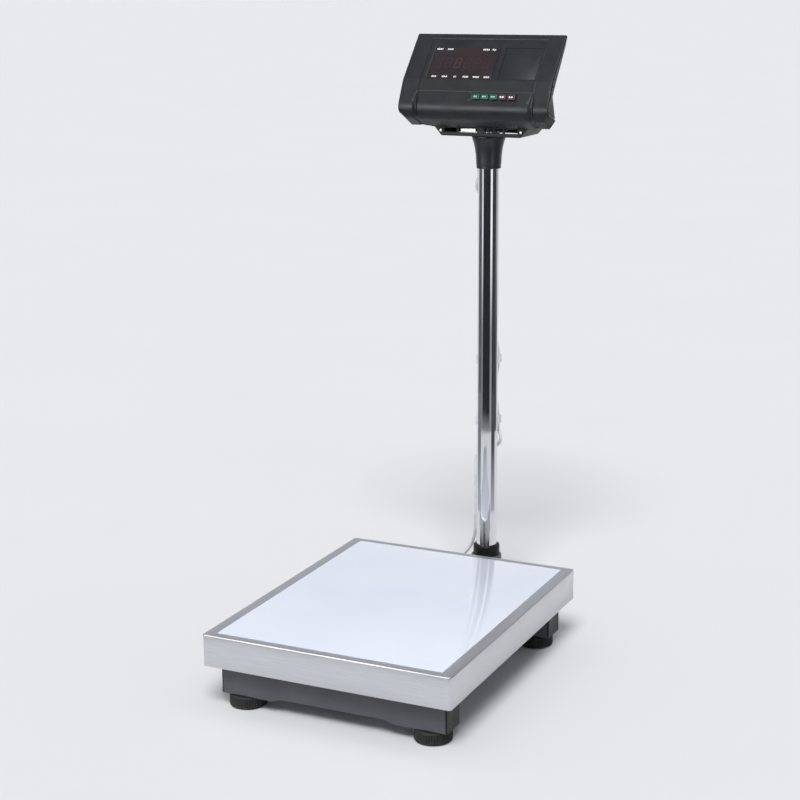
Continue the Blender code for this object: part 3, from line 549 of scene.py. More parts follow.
def build_cross_tube(tube):
    """A rectangular tube with rounded corners, raised between its feet, and a plug in each end."""
    low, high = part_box(tube)
    relief = 0.005
    plug = 0.0022
    edge = 0.100
    places = [(plug - high.x, 0.0), (-edge, 0.0), (0.015 - edge, relief)]
    places += [(-x, rise) for x, rise in reversed(places)]
    rings = []
    for x, rise in places:
        section = rounded_section((low.y, low.z + rise), (high.y, high.z), 0.0035)
        rings.append([(x, y, z) for y, z in section])
    made_piece(f"{tube}_rounded", loft(rings), SLATE, "root", (tube,))
    for side, name in SIDES:
        cap = []
        for inset, reach in ((0.0006, -0.004), (0.0, 0.0001 - plug), (0.0, -0.0008), (0.0008, 0.0)):
            corners = ((low.y + inset, low.z + inset), (high.y - inset, high.z - inset))
            section = rounded_section(*corners, 0.0033)
            cap.append([(side * (high.x + reach), y, z) for y, z in section])
        made_piece(f"{tube}_plug_{name}", loft(cap), BLACK, "root")


def four(half_x, low_y, high_y):
    """A pattern of four fixings."""
    return ((-half_x, low_y), (half_x, low_y), (-half_x, high_y), (half_x, high_y))


def build_base():
    build_cross_tube("front_cross_tube")
    build_cross_tube("rear_cross_tube")
    refined("centre_beam", SLATE, 0.0015, "root")
    refined("top_frame", SLATE, 0.0012, "root")
    refined("load_cell", ALUMINIUM, 0.0008, "root")
    refined("lower_spacer", ZINC, 0.0005, "root")
    refined("upper_spacer", ZINC, 0.0005, "root")
    for corner in CORNERS:
        refined(f"foot_nut_{corner}", ZINC, 0.0008, "root")
        build_stop(corner)
        build_pad(corner)
        build_foot(corner)
    cell = middle("load_cell")
    plate_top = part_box("top_frame")[0].z + 0.006
    for number, (x, y) in enumerate(four(0.011, -0.066, -0.045), 1):
        screw(f"cell_screw_{number}", (x, cell.y + y, plate_top), (0, 0, 1), 0.0055, 0.0040, "root")
    beam_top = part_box("centre_beam")[1].z
    for number, (x, y) in enumerate(four(0.026, -0.10, 0.10), 1):
        screw(f"beam_rivet_{number}", (x, cell.y + y, beam_top), (0, 0, 1), 0.0045, 0.0016, "root")


def screw(name, place, direction, radius, height, body):
    """A domed screw head with a round recess."""
    profile = [(0, 0), (radius, 0), (radius, 0.45 * height)]
    for step in range(1, 5):
        turn = math.pi / 2 * step / 4
        reach = radius - 0.35 * radius * (1 - math.cos(turn))
        profile.append((reach, 0.45 * height + 0.55 * height * math.sin(turn)))
    recess = 0.45 * radius
    profile += [(recess, height), (recess, 0.4 * height), (0, 0.4 * height)]
    made_piece(name, placed(turned(profile, 48), place, direction), ZINC, body)


def thread(start, end, pitch, crest, root, lead=0.0):
    """A profile's run of crests and roots."""
    profile = []
    for turn in range(int((end - start) / pitch)):
        z = start + (turn + lead) * pitch
        profile += [(crest, z), (root, z + pitch / 2)]
    return profile


def build_stop(corner):
    source = f"overload_stop_{corner}"
    low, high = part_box(source)
    centre = middle(source).xy
    shoulder = low.z + 0.007
    chamfer = 0.0012
    head = ((0.90, low.z), (1.0, low.z + chamfer), (1.0, shoulder - chamfer), (0.90, shoulder))
    profile = [(0, shoulder - 0.001), *thread(shoulder, high.z, 0.001, 0.0050, 0.0044)]
    profile += [(0.0042, high.z), (0, high.z)]
    bolt = together(hexagon(0.009, head, centre), turned(profile, 32, centre))
    made_piece(f"overload_bolt_{corner}", bolt, ZINC, "root", (source,))


def build_pad(corner):
    source = f"pan_pad_{corner}"
    low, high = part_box(source)
    radius = (high.x - low.x) / 2
    profile = [(0, low.z), (radius - 0.001, low.z), (radius, low.z + 0.001), (radius, low.z + 0.004)]
    profile += [(radius - 0.002, low.z + 0.0052), (radius - 0.003, low.z + 0.0062)]
    profile += [(radius - 0.003, high.z - 0.0012), (radius - 0.0042, high.z), (0, high.z)]
    pad = turned(profile, 64, middle(source).xy)
    made_piece(f"buffer_{corner}", pad, RUBBER, "root", (source,))


def build_foot(corner):
    """A ribbed adjuster with its stud, on its flat sole."""
    name = f"foot_{corner}"
    low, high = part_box(name)
    centre = middle(name).xy
    radius = (high.x - low.x) / 2
    sole_low, sole_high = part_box(f"sole_{corner}")
    sole = (sole_high.x - sole_low.x) / 2
    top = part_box("front_cross_tube")[0].z - GAP
    shoulder = 0.0030
    ribs = (low.z + 0.0028, top - shoulder)
    profile = [(0, sole_high.z + GAP), (sole + GAP, sole_high.z + GAP), (sole + GAP, low.z)]
    profile += [(radius - 0.0016, low.z), (radius - 0.0006, low.z + 0.0008)]
    profile.append((radius - 0.0002, low.z + 0.0020))
    profile += [(radius - 0.0001, ribs[0] + (ribs[1] - ribs[0]) * step / 4) for step in range(5)]
    profile += [(radius - 0.0002, top - shoulder + 0.0006), (radius - 0.0009, top - 0.0009)]
    profile += [(radius - 0.0022, top), (0.0062, top), (0.0062, top + 0.0005), (0, top + 0.0005)]
    grip = turned(profile, 264, centre, 44, 0.0013, ribs)
    made_piece(f"ribbed_foot_{corner}", grip, RUBBER, name, (name,), smooth=60)
    stud = [(0, top - 0.001), *thread(top, high.z, 0.00175, 0.0059, 0.0050, 0.1)]
    stud += [(0.0045, high.z), (0, high.z)]
    made_piece(f"foot_stud_{corner}", turned(stud, 40, centre), ZINC, name)
    name = f"sole_{corner}"
    profile = [(0, sole_low.z), (sole - 0.0022, sole_low.z), (sole - 0.0008, sole_low.z + 0.0004)]
    profile += [(sole, sole_low.z + 0.0014), (sole, sole_high.z), (0, sole_high.z)]
    made_piece(f"sole_pad_{corner}", turned(profile, 96, centre), RUBBER, name, (name,))


# Pole


def build_pole():
    low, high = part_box("pole_tube")
    inner = POLE_RADIUS - 0.0015
    edge = 0.0004
    steps = 24
    profile = [(inner, low.z), *arc((POLE_RADIUS - edge, low.z + edge), edge, -90, 0, 3)]
    profile += [(POLE_RADIUS, low.z + (high.z - low.z) * step / steps) for step in range(1, steps)]
    profile += [*arc((POLE_RADIUS - edge, high.z - edge), edge, 0, 90, 3), (inner, high.z)]
    tube = turned(profile, 128, POLE)
    tube = made_piece("pole_mirror_tube", tube, CHROME, "root", ("pole_tube",))
    slot = box_mesh((0.010, -0.0036, 0.7285), (0.026, 0.0036, 0.747))
    matrix = Matrix.Translation((*POLE, 0)) @ Matrix.Rotation(math.radians(SLOT_BEARING), 4, "Z")
    bmesh.ops.transform(slot, matrix=matrix, verts=slot.verts)
    cut_from(tube, slot, "cable_slot")


def build_collar():
    low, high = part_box("pole_collar")
    radius = (high.x - low.x) / 2
    groove = radius - 0.0007
    profile = [(BORE, low.z), (radius - 0.0006, low.z)]
    profile += arc((radius - 0.0006, low.z + 0.0006), 0.0006, -90, 0, 3)
    profile += [(radius, low.z + 0.0035), (groove, low.z + 0.0041), (groove, low.z + 0.0050)]
    profile += [(radius, low.z + 0.0056), *arc((radius - 0.0022, high.z - 0.0022), 0.0022, 0, 90, 6)]
    profile += [(BORE + 0.0006, high.z), (BORE, high.z - 0.0006)]
    collar = turned(profile, 128, POLE)
    made_piece("collar_moulding", collar, BLACK, "root", ("pole_collar",))


def build_arm():
    """The arm's hollow beam, the upright socket and the weld bead between them."""
    low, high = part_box("pole_arm")
    radius = high.y - POLE.y
    half = 0.025
    wall = 0.0025
    beam_top = low.z + 0.040
    outer = rounded_section((-half, low.z), (half, beam_top), 0.003)
    inner = rounded_section((wall - half, low.z + wall), (half - wall, beam_top - wall), 0.0015)
    back = POLE.y - radius + 0.003
    mesh = bmesh.new()
    rows = []
    for outline, y in ((inner, back - 0.001), (inner, low.y), (outer, low.y), (outer, back)):
        rows.append([mesh.verts.new((x, y, z)) for x, z in outline])
    add_faces(mesh, rows)
    mesh.faces.new(rows[0])
    mesh.faces.new(rows[-1])
    made_piece("arm_beam", outward(mesh), SLATE, "root", ("pole_arm",), smooth=50)
    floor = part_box("pole_tube")[0].z - GAP
    profile = [(0, low.z), (radius - 0.001, low.z)]
    profile += arc((radius - 0.001, low.z + 0.001), 0.001, -90, 0, 3)
    profile += arc((radius - 0.0016, high.z - 0.0016), 0.0016, 0, 90, 4)
    profile += [(BORE + 0.0005, high.z), (BORE, high.z - 0.0005), (BORE, floor), (0, floor)]
    made_piece("arm_socket", turned(profile, 128, POLE), SLATE, "root")
    joint_y = POLE.y - math.sqrt(radius**2 - half**2)
    path = [Vector((half, joint_y, z)) for z in (low.z + 0.003, beam_top - 0.002)]
    turns = [math.asin(half / radius) * (1 - 2 * i / 14) for i in range(15)]
    path += [Vector((radius * math.sin(t), POLE.y - radius * math.cos(t), beam_top)) for t in turns]
    path += [Vector((-half, joint_y, z)) for z in (beam_top - 0.002, low.z + 0.003)]
    weld("arm_weld", path, 0.0016, "root")


def weld(name, path, radius, body):
    """A rippled bead along a path."""
    points = resampled(path, 0.0009)
    rings = []
    for i, point in enumerate(points):
        ahead = points[min(i + 1, len(points) - 1)] - points[max(i - 1, 0)]
        turn = Vector((0, 0, 1)).rotation_difference(ahead).to_matrix()
        reach = radius * (1 + 0.12 * math.sin(2.4 * i))
        rings.append([point + turn @ Vector((reach * x, reach * y, 0)) for x, y in polygon(1.0, 10)])
    made_piece(name, loft(rings), SLATE, body, smooth=70)


def resampled(points, spacing):
    """Points at an even spacing along straight runs."""
    made = []
    for start, end in zip(points, points[1:]):
        count = max(1, round((end - start).length / spacing))
        made += [start.lerp(end, i / count) for i in range(count)]
    return made + [points[-1]]


def build_clamp_bolt():
    low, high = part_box("pole_clamp_bolt")
    z = middle("pole_clamp_bolt").z
    length = 0.0055
    seat = (0, high.y - length, z)
    rows = ((0.88, length), (1.0, length - 0.0010), (1.0, 0.0008), (0.93, 0))
    washer = [(0, -0.0003), (0.0082, -0.0003), (0.0084, 0.0003), (0.0078, 0.0008), (0, 0.0008)]
    bolt = together(
        placed(hexagon(0.0075, rows), seat, (0, 1, 0)),
        placed(turned(washer, 48), seat, (0, 1, 0)),
        rod(0.004, (0, low.y, z), seat[1] - low.y + 0.001, (0, 1, 0)),
    )
    made_piece("clamp_bolt_head", bolt, ZINC, "root", ("pole_clamp_bolt",))


def build_gland():
    low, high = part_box("cable_gland")
    length = high.x - low.x
    bore = 0.0031
    nut = hexagon(0.009, ((0.94, 0), (1.0, 0.0006), (1.0, 0.0052), (0.92, 0.006)))
    profile = [(bore, 0.003), (0.0078, 0.003), (0.0078, 0.0105), (0.0073, 0.0115), (0.0066, 0.0140)]
    profile += [(0.0058, length - 0.0006), (0.0052, length), (bore + 0.0003, length), (bore, length - 0.0004)]
    nose = turned(profile, 96, (0, 0), 18, 0.0006, (0.004, 0.0100))
    place = (high.x, *middle("cable_gland").yz)
    gland = together(placed(nut, place, (-1, 0, 0)), placed(nose, place, (-1, 0, 0)))
    made_piece("gland_nut", gland, BLACK, "root", ("cable_gland",))


def build_clips():
    """Sprung C-clips, each with an eye round the cable."""
    eye = polar(CLIP_BEARING, CLIP_REACH, 0)
    inner = POLE_RADIUS + 0.0001
    outer = 0.0195
    outline = arc(POLE, outer, 17, 207, 48) + arc(POLE, inner, 207, 17, 48)
    for number in (1, 2):
        source = f"cable_clip_{number}"
        low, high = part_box(source)
        made_piece(
            f"{source}_moulded", prism(outline, low.z, high.z), CABLE_SKIN, "root", (source,),
            bevel=0.0004, segments=2,
        )
        hole = [(0.0041, low.z + 0.0004), (0.0041, high.z - 0.0004), (0.0045, high.z), (0.0051, high.z)]
        hole += [(0.0056, high.z - 0.0005), (0.0056, low.z + 0.0005), (0.0051, low.z), (0.0045, low.z)]
        loop = turned(hole, 64, (POLE.x + eye[0], POLE.y + eye[1]))
        made_piece(f"{source}_eye", loop, CABLE_SKIN, "root")


def build_grommet():
    refined("cable_grommet", CABLE_SKIN, 0.0003, "root")


def cable_route():
    """The load cell cable's route, from the pole's axis: out of the cell, through the gland, up the pole."""
    cell_low, cell_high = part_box("load_cell")
    exit_y = PAN_CENTRE.y - POLE.y + (cell_high.y - cell_low.y) / 2 + 0.0004
    tube_y = middle("rear_cross_tube").y - POLE.y
    gland = middle("cable_gland")
    gland_y = gland.y - POLE.y
    points = [
        (0, exit_y, 0.067),
        (0.002, exit_y + 0.020, 0.0655),
        (0.006, exit_y + 0.050, 0.061),
        (0.008, exit_y + 0.080, 0.0583),
        (0.008, tube_y - 0.012, 0.058),
        (0.008, tube_y + 0.012, 0.058),
        (0.0085, tube_y + 0.040, 0.0555),
        (0.0085, -0.088, 0.050),
        (0.005, -0.069, 0.0478),
        (-0.006, -0.0575, gland.z),
        (-0.020, gland_y, gland.z),
        (-0.034, gland_y, gland.z),
        (-0.048, gland_y, gland.z),
        (-0.061, -0.0505, 0.0485),
        (-0.067, -0.037, 0.054),
        (-0.061, -0.019, 0.063),
        (-0.048, -0.005, 0.074),
        (-0.036, 0.0025, 0.087),
        (-0.0285, 0.004, 0.100),
    ]
    climb = ((173, 0.0245, 0.113), (175, 0.0213, 0.130), (177, 0.0210, 0.160), (177, 0.0210, 0.200))
    climb += ((176, 0.0214, 0.232), (160, 0.0228, 0.255), (114, 0.0230, 0.267), (68, 0.0232, 0.274))
    climb += ((40, 0.0242, 0.288), (53, 0.0228, 0.305))
    climb += ((CLIP_BEARING, CLIP_REACH, 0.315), (CLIP_BEARING, CLIP_REACH, 0.330))
    climb += ((68, 0.0225, 0.350), (82, 0.0222, 0.376), (68, 0.0225, 0.402))
    climb += ((CLIP_BEARING, CLIP_REACH, 0.420), (CLIP_BEARING, CLIP_REACH, 0.436))
    climb += ((78, 0.0225, 0.470), (102, 0.0215, 0.520), (114, 0.0212, 0.580), (120, 0.0212, 0.640))
    climb += ((138, 0.0216, 0.685), (160, 0.0225, 0.710))
    points += [polar(*place) for place in climb]
    entry = 0.720
    rise = 0.050
    for step in range(5):
        reach = CLIP_REACH / 2 * (1 + math.cos(math.pi * step / 4))
        points.append(polar(SLOT_BEARING, reach, entry + rise * step / 4))
    points += [(0, 0, 0.795), (0, 0, PIVOT.z - 0.002)]
    return [Vector((POLE.x + x, POLE.y + y, z)) for x, y, z in points]


def build_cables():
    tail = [(0, 0, GAP), (0, 0, 0.010), (0, 0, 0.021)]
    tail += [(0, -0.0018, 0.030), (0, -0.0050, 0.038), (0, -0.0066, 0.0455)]
    tail = [PIVOT + Vector(point) for point in tail]
    for name, route, body, source in (
        ("load_cell_lead", cable_route(), "root", "load_cell_cable"),
        ("lead_tail", tail, "indicator", "cable_tail"),
    ):
        cable = tube_along(smooth_path(route), CABLE_RADIUS)
        made_piece(name, cable, CABLE_SKIN, body, (source,))


# Neck


def build_neck():
    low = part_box("neck_socket")[0]
    top = PIVOT.z - 0.017
    rows = [(BORE, low.z + 0.0004), (BORE + 0.0004, low.z), (0.0198, low.z), (0.0203, low.z + 0.0006)]
    rows += [(0.0204, low.z + 0.003), (0.0199, low.z + 0.0036), (0.0199, low.z + 0.0046)]
    rows += [(0.0205, low.z + 0.0052), (0.0207, 0.757), (0.0209, 0.762), (0.0212, 0.768), (0.0217, 0.774)]
    rows += [(0.0223, 0.779), (0.0232, 0.784), (0.0243, 0.789), (0.0256, 0.7935), (0.0268, 0.797)]
    rows += [(0.0276, 0.7995), (0.0280, 0.8015)]
    rows += [(0.0279, 0.8024), (0.0274, top), (0.006, top), (0.006, 0.795), (BORE, 0.795)]
    made_piece("neck_moulding", turned(rows, 128, POLE), SATIN, "neck", ("neck_socket",))
    radius = 0.012
    outline = arc(PIVOT.yz, radius, 0, 180, 24)
    outline += [(POLE.y - radius, top - 0.003), (POLE.y + radius, top - 0.003)]
    for side, name in SIDES:
        x_low, x_high = sorted((side * 0.009, side * 0.015))
        ear = loft([[(x, y, z) for y, z in outline] for x in (x_low, x_high)])
        made_piece(f"neck_ear_{name}", ear, SATIN, "neck", bevel=0.0008)
    boss = [(0, 0), (0.0072, 0), (0.0072, 0.0020), (0.0062, 0.0027), (0, 0.0027)]
    boss = placed(turned(boss, 64), (0, POLE.y + 0.0205, middle("neck_knob").z), (0, 1, 0))
    made_piece("neck_boss", boss, SATIN, "neck")


def knob(name, start, direction, radius, reach, length, shank):
    """A fluted knob with a domed rim and a recessed face, on the end of its shank."""
    edge = 0.0012
    profile = [(0, 0), (radius - edge, 0), (radius - 0.3 * edge, 0.3 * edge), (radius, edge)]
    profile += [(radius, edge + (length - 2 * edge) * i / 3) for i in range(1, 3)]
    profile += [(radius, length - edge), (radius - 0.3 * edge, length - 0.3 * edge), (radius - edge, length)]
    profile += [(0.62 * radius, length), (0.58 * radius, length - 0.0006), (0, length - 0.0006)]
    grip = turned(profile, 180, (0, 0), 15, 0.0011, (0.5 * edge, length - 0.5 * edge))
    grip = placed(grip, Vector(start) + (reach - length) * Vector(direction), direction)
    made_piece(f"{name}_grip", grip, BLACK, name, (name,), smooth=50)
    made_piece(f"{name}_shank", rod(shank, start, reach - length + 0.001, direction), ZINC, name)


def build_knobs():
    low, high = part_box("neck_knob")
    start = (0, low.y, middle("neck_knob").z)
    knob("neck_knob", start, (0, 1, 0), (high.x - low.x) / 2, high.y - low.y, 0.011, 0.003)
    low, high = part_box("tilt_knob")
    knob("tilt_knob", (low.x, *PIVOT.yz), (1, 0, 0), (high.y - low.y) / 2, high.x - low.x, 0.013, 0.004)


def build_bracket():
    refined("tilt_bracket", ZINC, 0.0004, "indicator")
    low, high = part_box("tilt_bolt")
    length = 0.005
    seat = low.x + length
    rows = ((0.88, length), (1.0, length - 0.0009), (1.0, 0))
    head = placed(hexagon(0.0065, rows), (seat, *PIVOT.yz), (-1, 0, 0))
    shank = rod(0.004, (seat - 0.001, *PIVOT.yz), high.x - seat + 0.001, (1, 0, 0))
    made_piece("tilt_bolt_head", together(head, shank), ZINC, "indicator", ("tilt_bolt",))


# Indicator, drawn along its face: X, the distance s down the face from its top edge, and the depth inwards

FOLD = KEY_SLOPE - DISPLAY_SLOPE
LIP_TURN = math.pi - KEY_SLOPE - UNDER_SLOPE
TANGENT = FOLD_RADIUS * math.tan(FOLD / 2)
FACE_RUNS = (
    (DISPLAY_LENGTH - TANGENT, 0.0),
    (FOLD_RADIUS * FOLD, FOLD),
    (KEY_LENGTH - TANGENT, 0.0),
    (LIP_RADIUS * LIP_TURN, LIP_TURN),
    (UNDER_LENGTH, 0.0),
)
FACE_LENGTH = sum(length for length, turn in FACE_RUNS)


def face_point(s, depth):
    """Y and Z from the tilt axis."""
    place = Vector((FACE_TOP_Y, CASE_TOP))
    heading = math.pi + DISPLAY_SLOPE
    left = s
    for number, (length, turn) in enumerate(FACE_RUNS):
        step = left if number == len(FACE_RUNS) - 1 else min(left, length)
        if turn:
            radius = length / turn
            centre = place + radius * Vector((-math.sin(heading), math.cos(heading)))
            heading += step / radius
            place = centre + radius * Vector((math.sin(heading), -math.cos(heading)))
        else:
            place = place + step * Vector((math.cos(heading), math.sin(heading)))
        left -= step
        if left <= 0:
            break
    return place - depth * Vector((math.sin(heading), -math.cos(heading)))


KNEE = face_point(DISPLAY_LENGTH + KEY_LENGTH + 1e-6, LIP_RADIUS).y  # below it, the lower corners rise


def corner_share(x):
    return max(0.0, (abs(x) - CORNER_X) / (CASE_HALF - CORNER_X))


def lifted(x, y, z):
    """A point of the casing in the room, raised if it is low and near the casing's sides."""
    return PIVOT + Vector((x, y, z + CORNER_LIFT * corner_share(x) * max(0.0, KNEE - z)))


def on_case(x, s, depth):
    y, z = face_point(s, depth)
    x -= math.copysign(DRAFT * max(0.0, depth) * corner_share(x), x)
    return lifted(x, y, z)


def opening(source):
    """The face's hollow for a panel: its sides from the frame, its top and bottom along the face."""
    low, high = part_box(source)
    return (low.x - GAP, high.x + GAP, 0.029, 0.092)


# Areas of the face, each from one X to another and from one s to another

WINDOW_AREA = opening("display_window")
LABEL_AREA = opening("label_panel")
KEY_S = DISPLAY_LENGTH + 0.028
KEY_HALF = (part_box("key_1")[1].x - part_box("key_1")[0].x) / 2 - 0.0005
KEY_HALF_TALL = 0.0043
KEY_X = [middle(f"key_{number}").x for number in range(1, 6)]
KEY_HOLES = []
for key_x in KEY_X:
    sides = (key_x - KEY_HALF - GAP, key_x + KEY_HALF + GAP)
    KEY_HOLES.append((*sides, KEY_S - KEY_HALF_TALL - GAP, KEY_S + KEY_HALF_TALL + GAP))
FIELD = (-0.0985, 0.1015, 0.012, DISPLAY_LENGTH + 0.0200)
POCKET = (KEY_X[0] - KEY_HALF - 0.0036, KEY_X[-1] + KEY_HALF + 0.0036, KEY_S - 0.0070, KEY_S + 0.0070)
BLOCK_GROOVES = (-0.100, 0.100)


def inside_by(x, s, area):
    """How far a point lies inside a rectangle of the face, negative outside it."""
    return min(x - area[0], area[1] - x, s - area[2], area[3] - s)


def clamp(value):
    return min(1.0, max(0.0, value))


def relief(x, s):
    """The depth of the face's recesses and grooves at a point."""
    depth = 0.0004 * clamp(inside_by(x, s, FIELD) / 0.0008)
    depth += 0.0008 * clamp(1 - abs(inside_by(x, s, FIELD)) / 0.0009)
    depth += 0.0007 * clamp(inside_by(x, s, POCKET) / 0.0009 + 0.001)
    depth += 0.0010 * clamp(inside_by(x, s, LABEL_AREA) / 0.0004 + 0.5)
    past = s - FIELD[3]
    below = clamp(past / 0.020)
    for groove_x in BLOCK_GROOVES:
        width = 0.0012 + 0.0024 * below
        deep = 0.0012 + 0.0016 * below
        depth += clamp(past / 0.004) * deep * clamp(1.4 - abs(x - groove_x) / width)
    if abs(x) > BLOCK_GROOVES[1]:
        depth += 0.0009 * below
    return depth


def stations(low, high, features, fill):
    """Sorted grid lines: the features' own, and enough between them."""
    lines = sorted({round(value, 7) for value in (low, high, *features) if low <= value <= high})
    made = [lines[0]]
    for line in lines[1:]:
        if line - made[-1] < 0.00012:
            continue
        count = max(1, math.ceil((line - made[-1]) / fill))
        start = made[-1]
        made += [start + (line - start) * i / count for i in range(1, count + 1)]
    return made


def rolled(flat):
    """Grid lines with a rounded edge's shares before and after them."""
    arcs = [math.sin(math.pi / 2 * i / 5) for i in range(1, 6)]
    return [(flat[0], -u) for u in reversed(arcs)] + [(x, 0.0) for x in flat] + [(flat[-1], u) for u in arcs]


def face_lines(edge):
    """The grid's lines across and down the face, which follow each recess and opening."""
    across = [-CORNER_X, CORNER_X]
    along = [DISPLAY_LENGTH - TANGENT, DISPLAY_LENGTH + TANGENT, DISPLAY_LENGTH + KEY_LENGTH]
    along.append(FACE_LENGTH - UNDER_LENGTH)
    margins = [(FIELD, (0.0009, 0, -0.0009)), (POCKET, (0, -0.0009)), (WINDOW_AREA, (0,))]
    margins += [(LABEL_AREA, (0.0002, -0.0002)), *((hole, (0,)) for hole in KEY_HOLES)]
    for area, widths in margins:
        across += [area[0] - w for w in widths] + [area[1] + w for w in widths]
        along += [area[2] - w for w in widths] + [area[3] + w for w in widths]
    for x in BLOCK_GROOVES:
        across += [x + side * offset for side in (-1, 1) for offset in (0.0048, 0.0034, 0.0016, 0.0008)]
    columns = rolled(stations(-CASE_HALF + edge, CASE_HALF - edge, across, 0.006))
    return columns, rolled(stations(edge, FACE_LENGTH - edge, along, 0.0022))


def build_front_shell():
    """The face and its walls on a grid that follows each recess, open at the window and at the keys."""
    edge = 0.0038
    columns, lines = face_lines(edge)
    mesh = bmesh.new()
    places = []
    for s0, v in lines:
        row = []
        for x0, u in columns:
            a = u * math.sqrt(1 - v * v / 2)
            b = v * math.sqrt(1 - u * u / 2)
            x = x0 + edge * a
            s = s0 + edge * b
            depth = edge * (1 - math.sqrt(max(0.0, 1 - a * a - b * b)))
            row.append((x, s, depth + relief(x, s) * (1 - max(abs(u), abs(v)))))
        places.append(row)
    grid = [[mesh.verts.new(on_case(*place)) for place in row] for row in places]
    right = len(columns) - 1
    bottom = len(lines) - 1
    for i in range(bottom):
        for j in range(right):
            x = (places[i][j][0] + places[i + 1][j + 1][0]) / 2
            s = (places[i][j][1] + places[i + 1][j + 1][1]) / 2
            if not any(inside_by(x, s, area) > 0 for area in (WINDOW_AREA, *KEY_HOLES)):
                mesh.faces.new((grid[i][j], grid[i][j + 1], grid[i + 1][j + 1], grid[i + 1][j]))
    border = [(0, j) for j in range(right)] + [(i, right) for i in range(bottom)]
    border += [(bottom, j) for j in range(right, 0, -1)] + [(i, 0) for i in range(bottom, 0, -1)]
    rows = [[grid[i][j] for i, j in border]]
    for depth in (0.008, 0.013, SHELL_DEPTH - 0.0005):
        rows.append([mesh.verts.new(on_case(*places[i][j][:2], depth)) for i, j in border])
    add_faces(mesh, rows)
    loose = [v for v in mesh.verts if not v.link_faces]
    bmesh.ops.delete(mesh, geom=loose, context="VERTS")
    outward(mesh)
    if sum(face.normal.y * face.calc_area() for face in mesh.faces) > 0:
        bmesh.ops.reverse_faces(mesh, faces=mesh.faces)
    shell = made_piece(
        "front_shell_moulded", mesh, CASING, "indicator", ("front_shell",), smooth=32
    )
    wall = shell.modifiers.new("wall", "SOLIDIFY")
    wall.thickness = 0.0022
    wall.offset = -1.0


def face_slab(area, low, high, corner=0.001, bevel=0.0003, steps=5):
    """A plate on the face, from one depth to a shallower one, with rounded corners and a small bevel."""
    half = ((area[1] - area[0]) / 2, (area[3] - area[2]) / 2)
    centre = ((area[0] + area[1]) / 2, (area[2] + area[3]) / 2)
    rings = []
    for inset, depth in ((0, low), (0, high + bevel), (0.3 * bevel, high + 0.3 * bevel), (bevel, high)):
        corner_radius = max(corner - inset, 0.00005)
        outline = rounded_rectangle(half[0] - inset, half[1] - inset, corner_radius, centre, steps)
        rings.append([on_case(x, s, depth) for x, s in outline])
    return loft(rings)


def shrunk(area):
    return (area[0] + GAP, area[1] - GAP, area[2] + GAP, area[3] - GAP)


def build_window():
    lens = face_slab(shrunk(WINDOW_AREA), 0.0022, 0.0005, 0.0015)
    made_piece("window_lens", lens, WINDOW, "indicator", ("display_window",))
    surface = 0.00047
    top_marks = ((-0.0810, 0.0115), (-0.0625, 0.0105), (0.0005, 0.0120), (0.0140, 0.0070))
    low_marks = ((-0.0765, 0.0090), (-0.0575, 0.0105), (-0.0395, 0.0050))
    low_marks += ((-0.0210, 0.0105), (-0.0025, 0.0115), (0.0155, 0.0100))
    for row, s, marks in (
        ("top", DISPLAY_LENGTH - 0.0622, top_marks),
        ("low", DISPLAY_LENGTH - 0.0068, low_marks),
    ):
        for number, (x, width) in enumerate(marks, 1):
            made_piece(f"legend_{row}_{number}", legend(x, s, width, surface), LEGEND, "indicator")
    for number in range(6):
        digit(number, -0.0755 + 0.0168 * number, DISPLAY_LENGTH - 0.0345, surface)


def legend(x, s, width, surface, tall=0.0030):
    """A generic printed mark: a row of small blocks over a bar."""
    count = max(2, round(width / 0.0032))
    pitch = width / count
    lefts = [x - width / 2 + pitch * i for i in range(count)]
    areas = [(left, left + 0.72 * pitch, s - tall / 2, s + 0.12 * tall) for left in lefts]
    areas.append((x - width / 2, x + width / 2 - 0.28 * pitch, s + 0.22 * tall, s + tall / 2))
    return together(
        *(face_slab(area, surface + 0.0002, surface - 0.00003, 0.0002, 0.00002, 2) for area in areas)
    )


def digit(number, x, s, surface):
    """Seven unlit segments of one numeral, of which the third numeral's outer ones glow a little."""
    tall = 0.0200
    wide = 0.0105
    bar = 0.0017
    slant = 0.09
    strokes = []
    for row in (-1, 0, 1):
        y = row * (tall - bar) / 2
        strokes.append((row != 0, (-wide / 2 + bar, wide / 2 - bar, y - bar / 2, y + bar / 2)))
    for column in (-1, 1):
        left = column * (wide - bar) / 2 - bar / 2
        for half in (-1, 1):
            ends = sorted((half * 0.0006, half * (tall / 2 - 0.0006)))
            strokes.append((True, (left, left + bar, *ends)))
    for glowing, finish, name in ((True, LIT, "lit"), (False, UNLIT, "unlit")):
        parts = []
        for outer, (x_low, x_high, s_low, s_high) in strokes:
            if (outer and number == 2) != glowing:
                continue
            corners = ((x_low, s_low), (x_high, s_low), (x_high, s_high), (x_low, s_high))
            corners = [(x + px - slant * ps, s + ps) for px, ps in corners]
            depths = (surface + 0.0002, surface - 0.00002)
            parts.append(loft([[on_case(px, ps, depth) for px, ps in corners] for depth in depths]))
        if parts:
            made_piece(f"digit_{number + 1}_{name}", together(*parts), finish, "indicator")


def build_label():
    film = face_slab(shrunk(LABEL_AREA), 0.0013, 0.0006, 0.0012, 0.00015)
    made_piece("label_film_panel", film, FILM, "indicator", ("label_panel",))


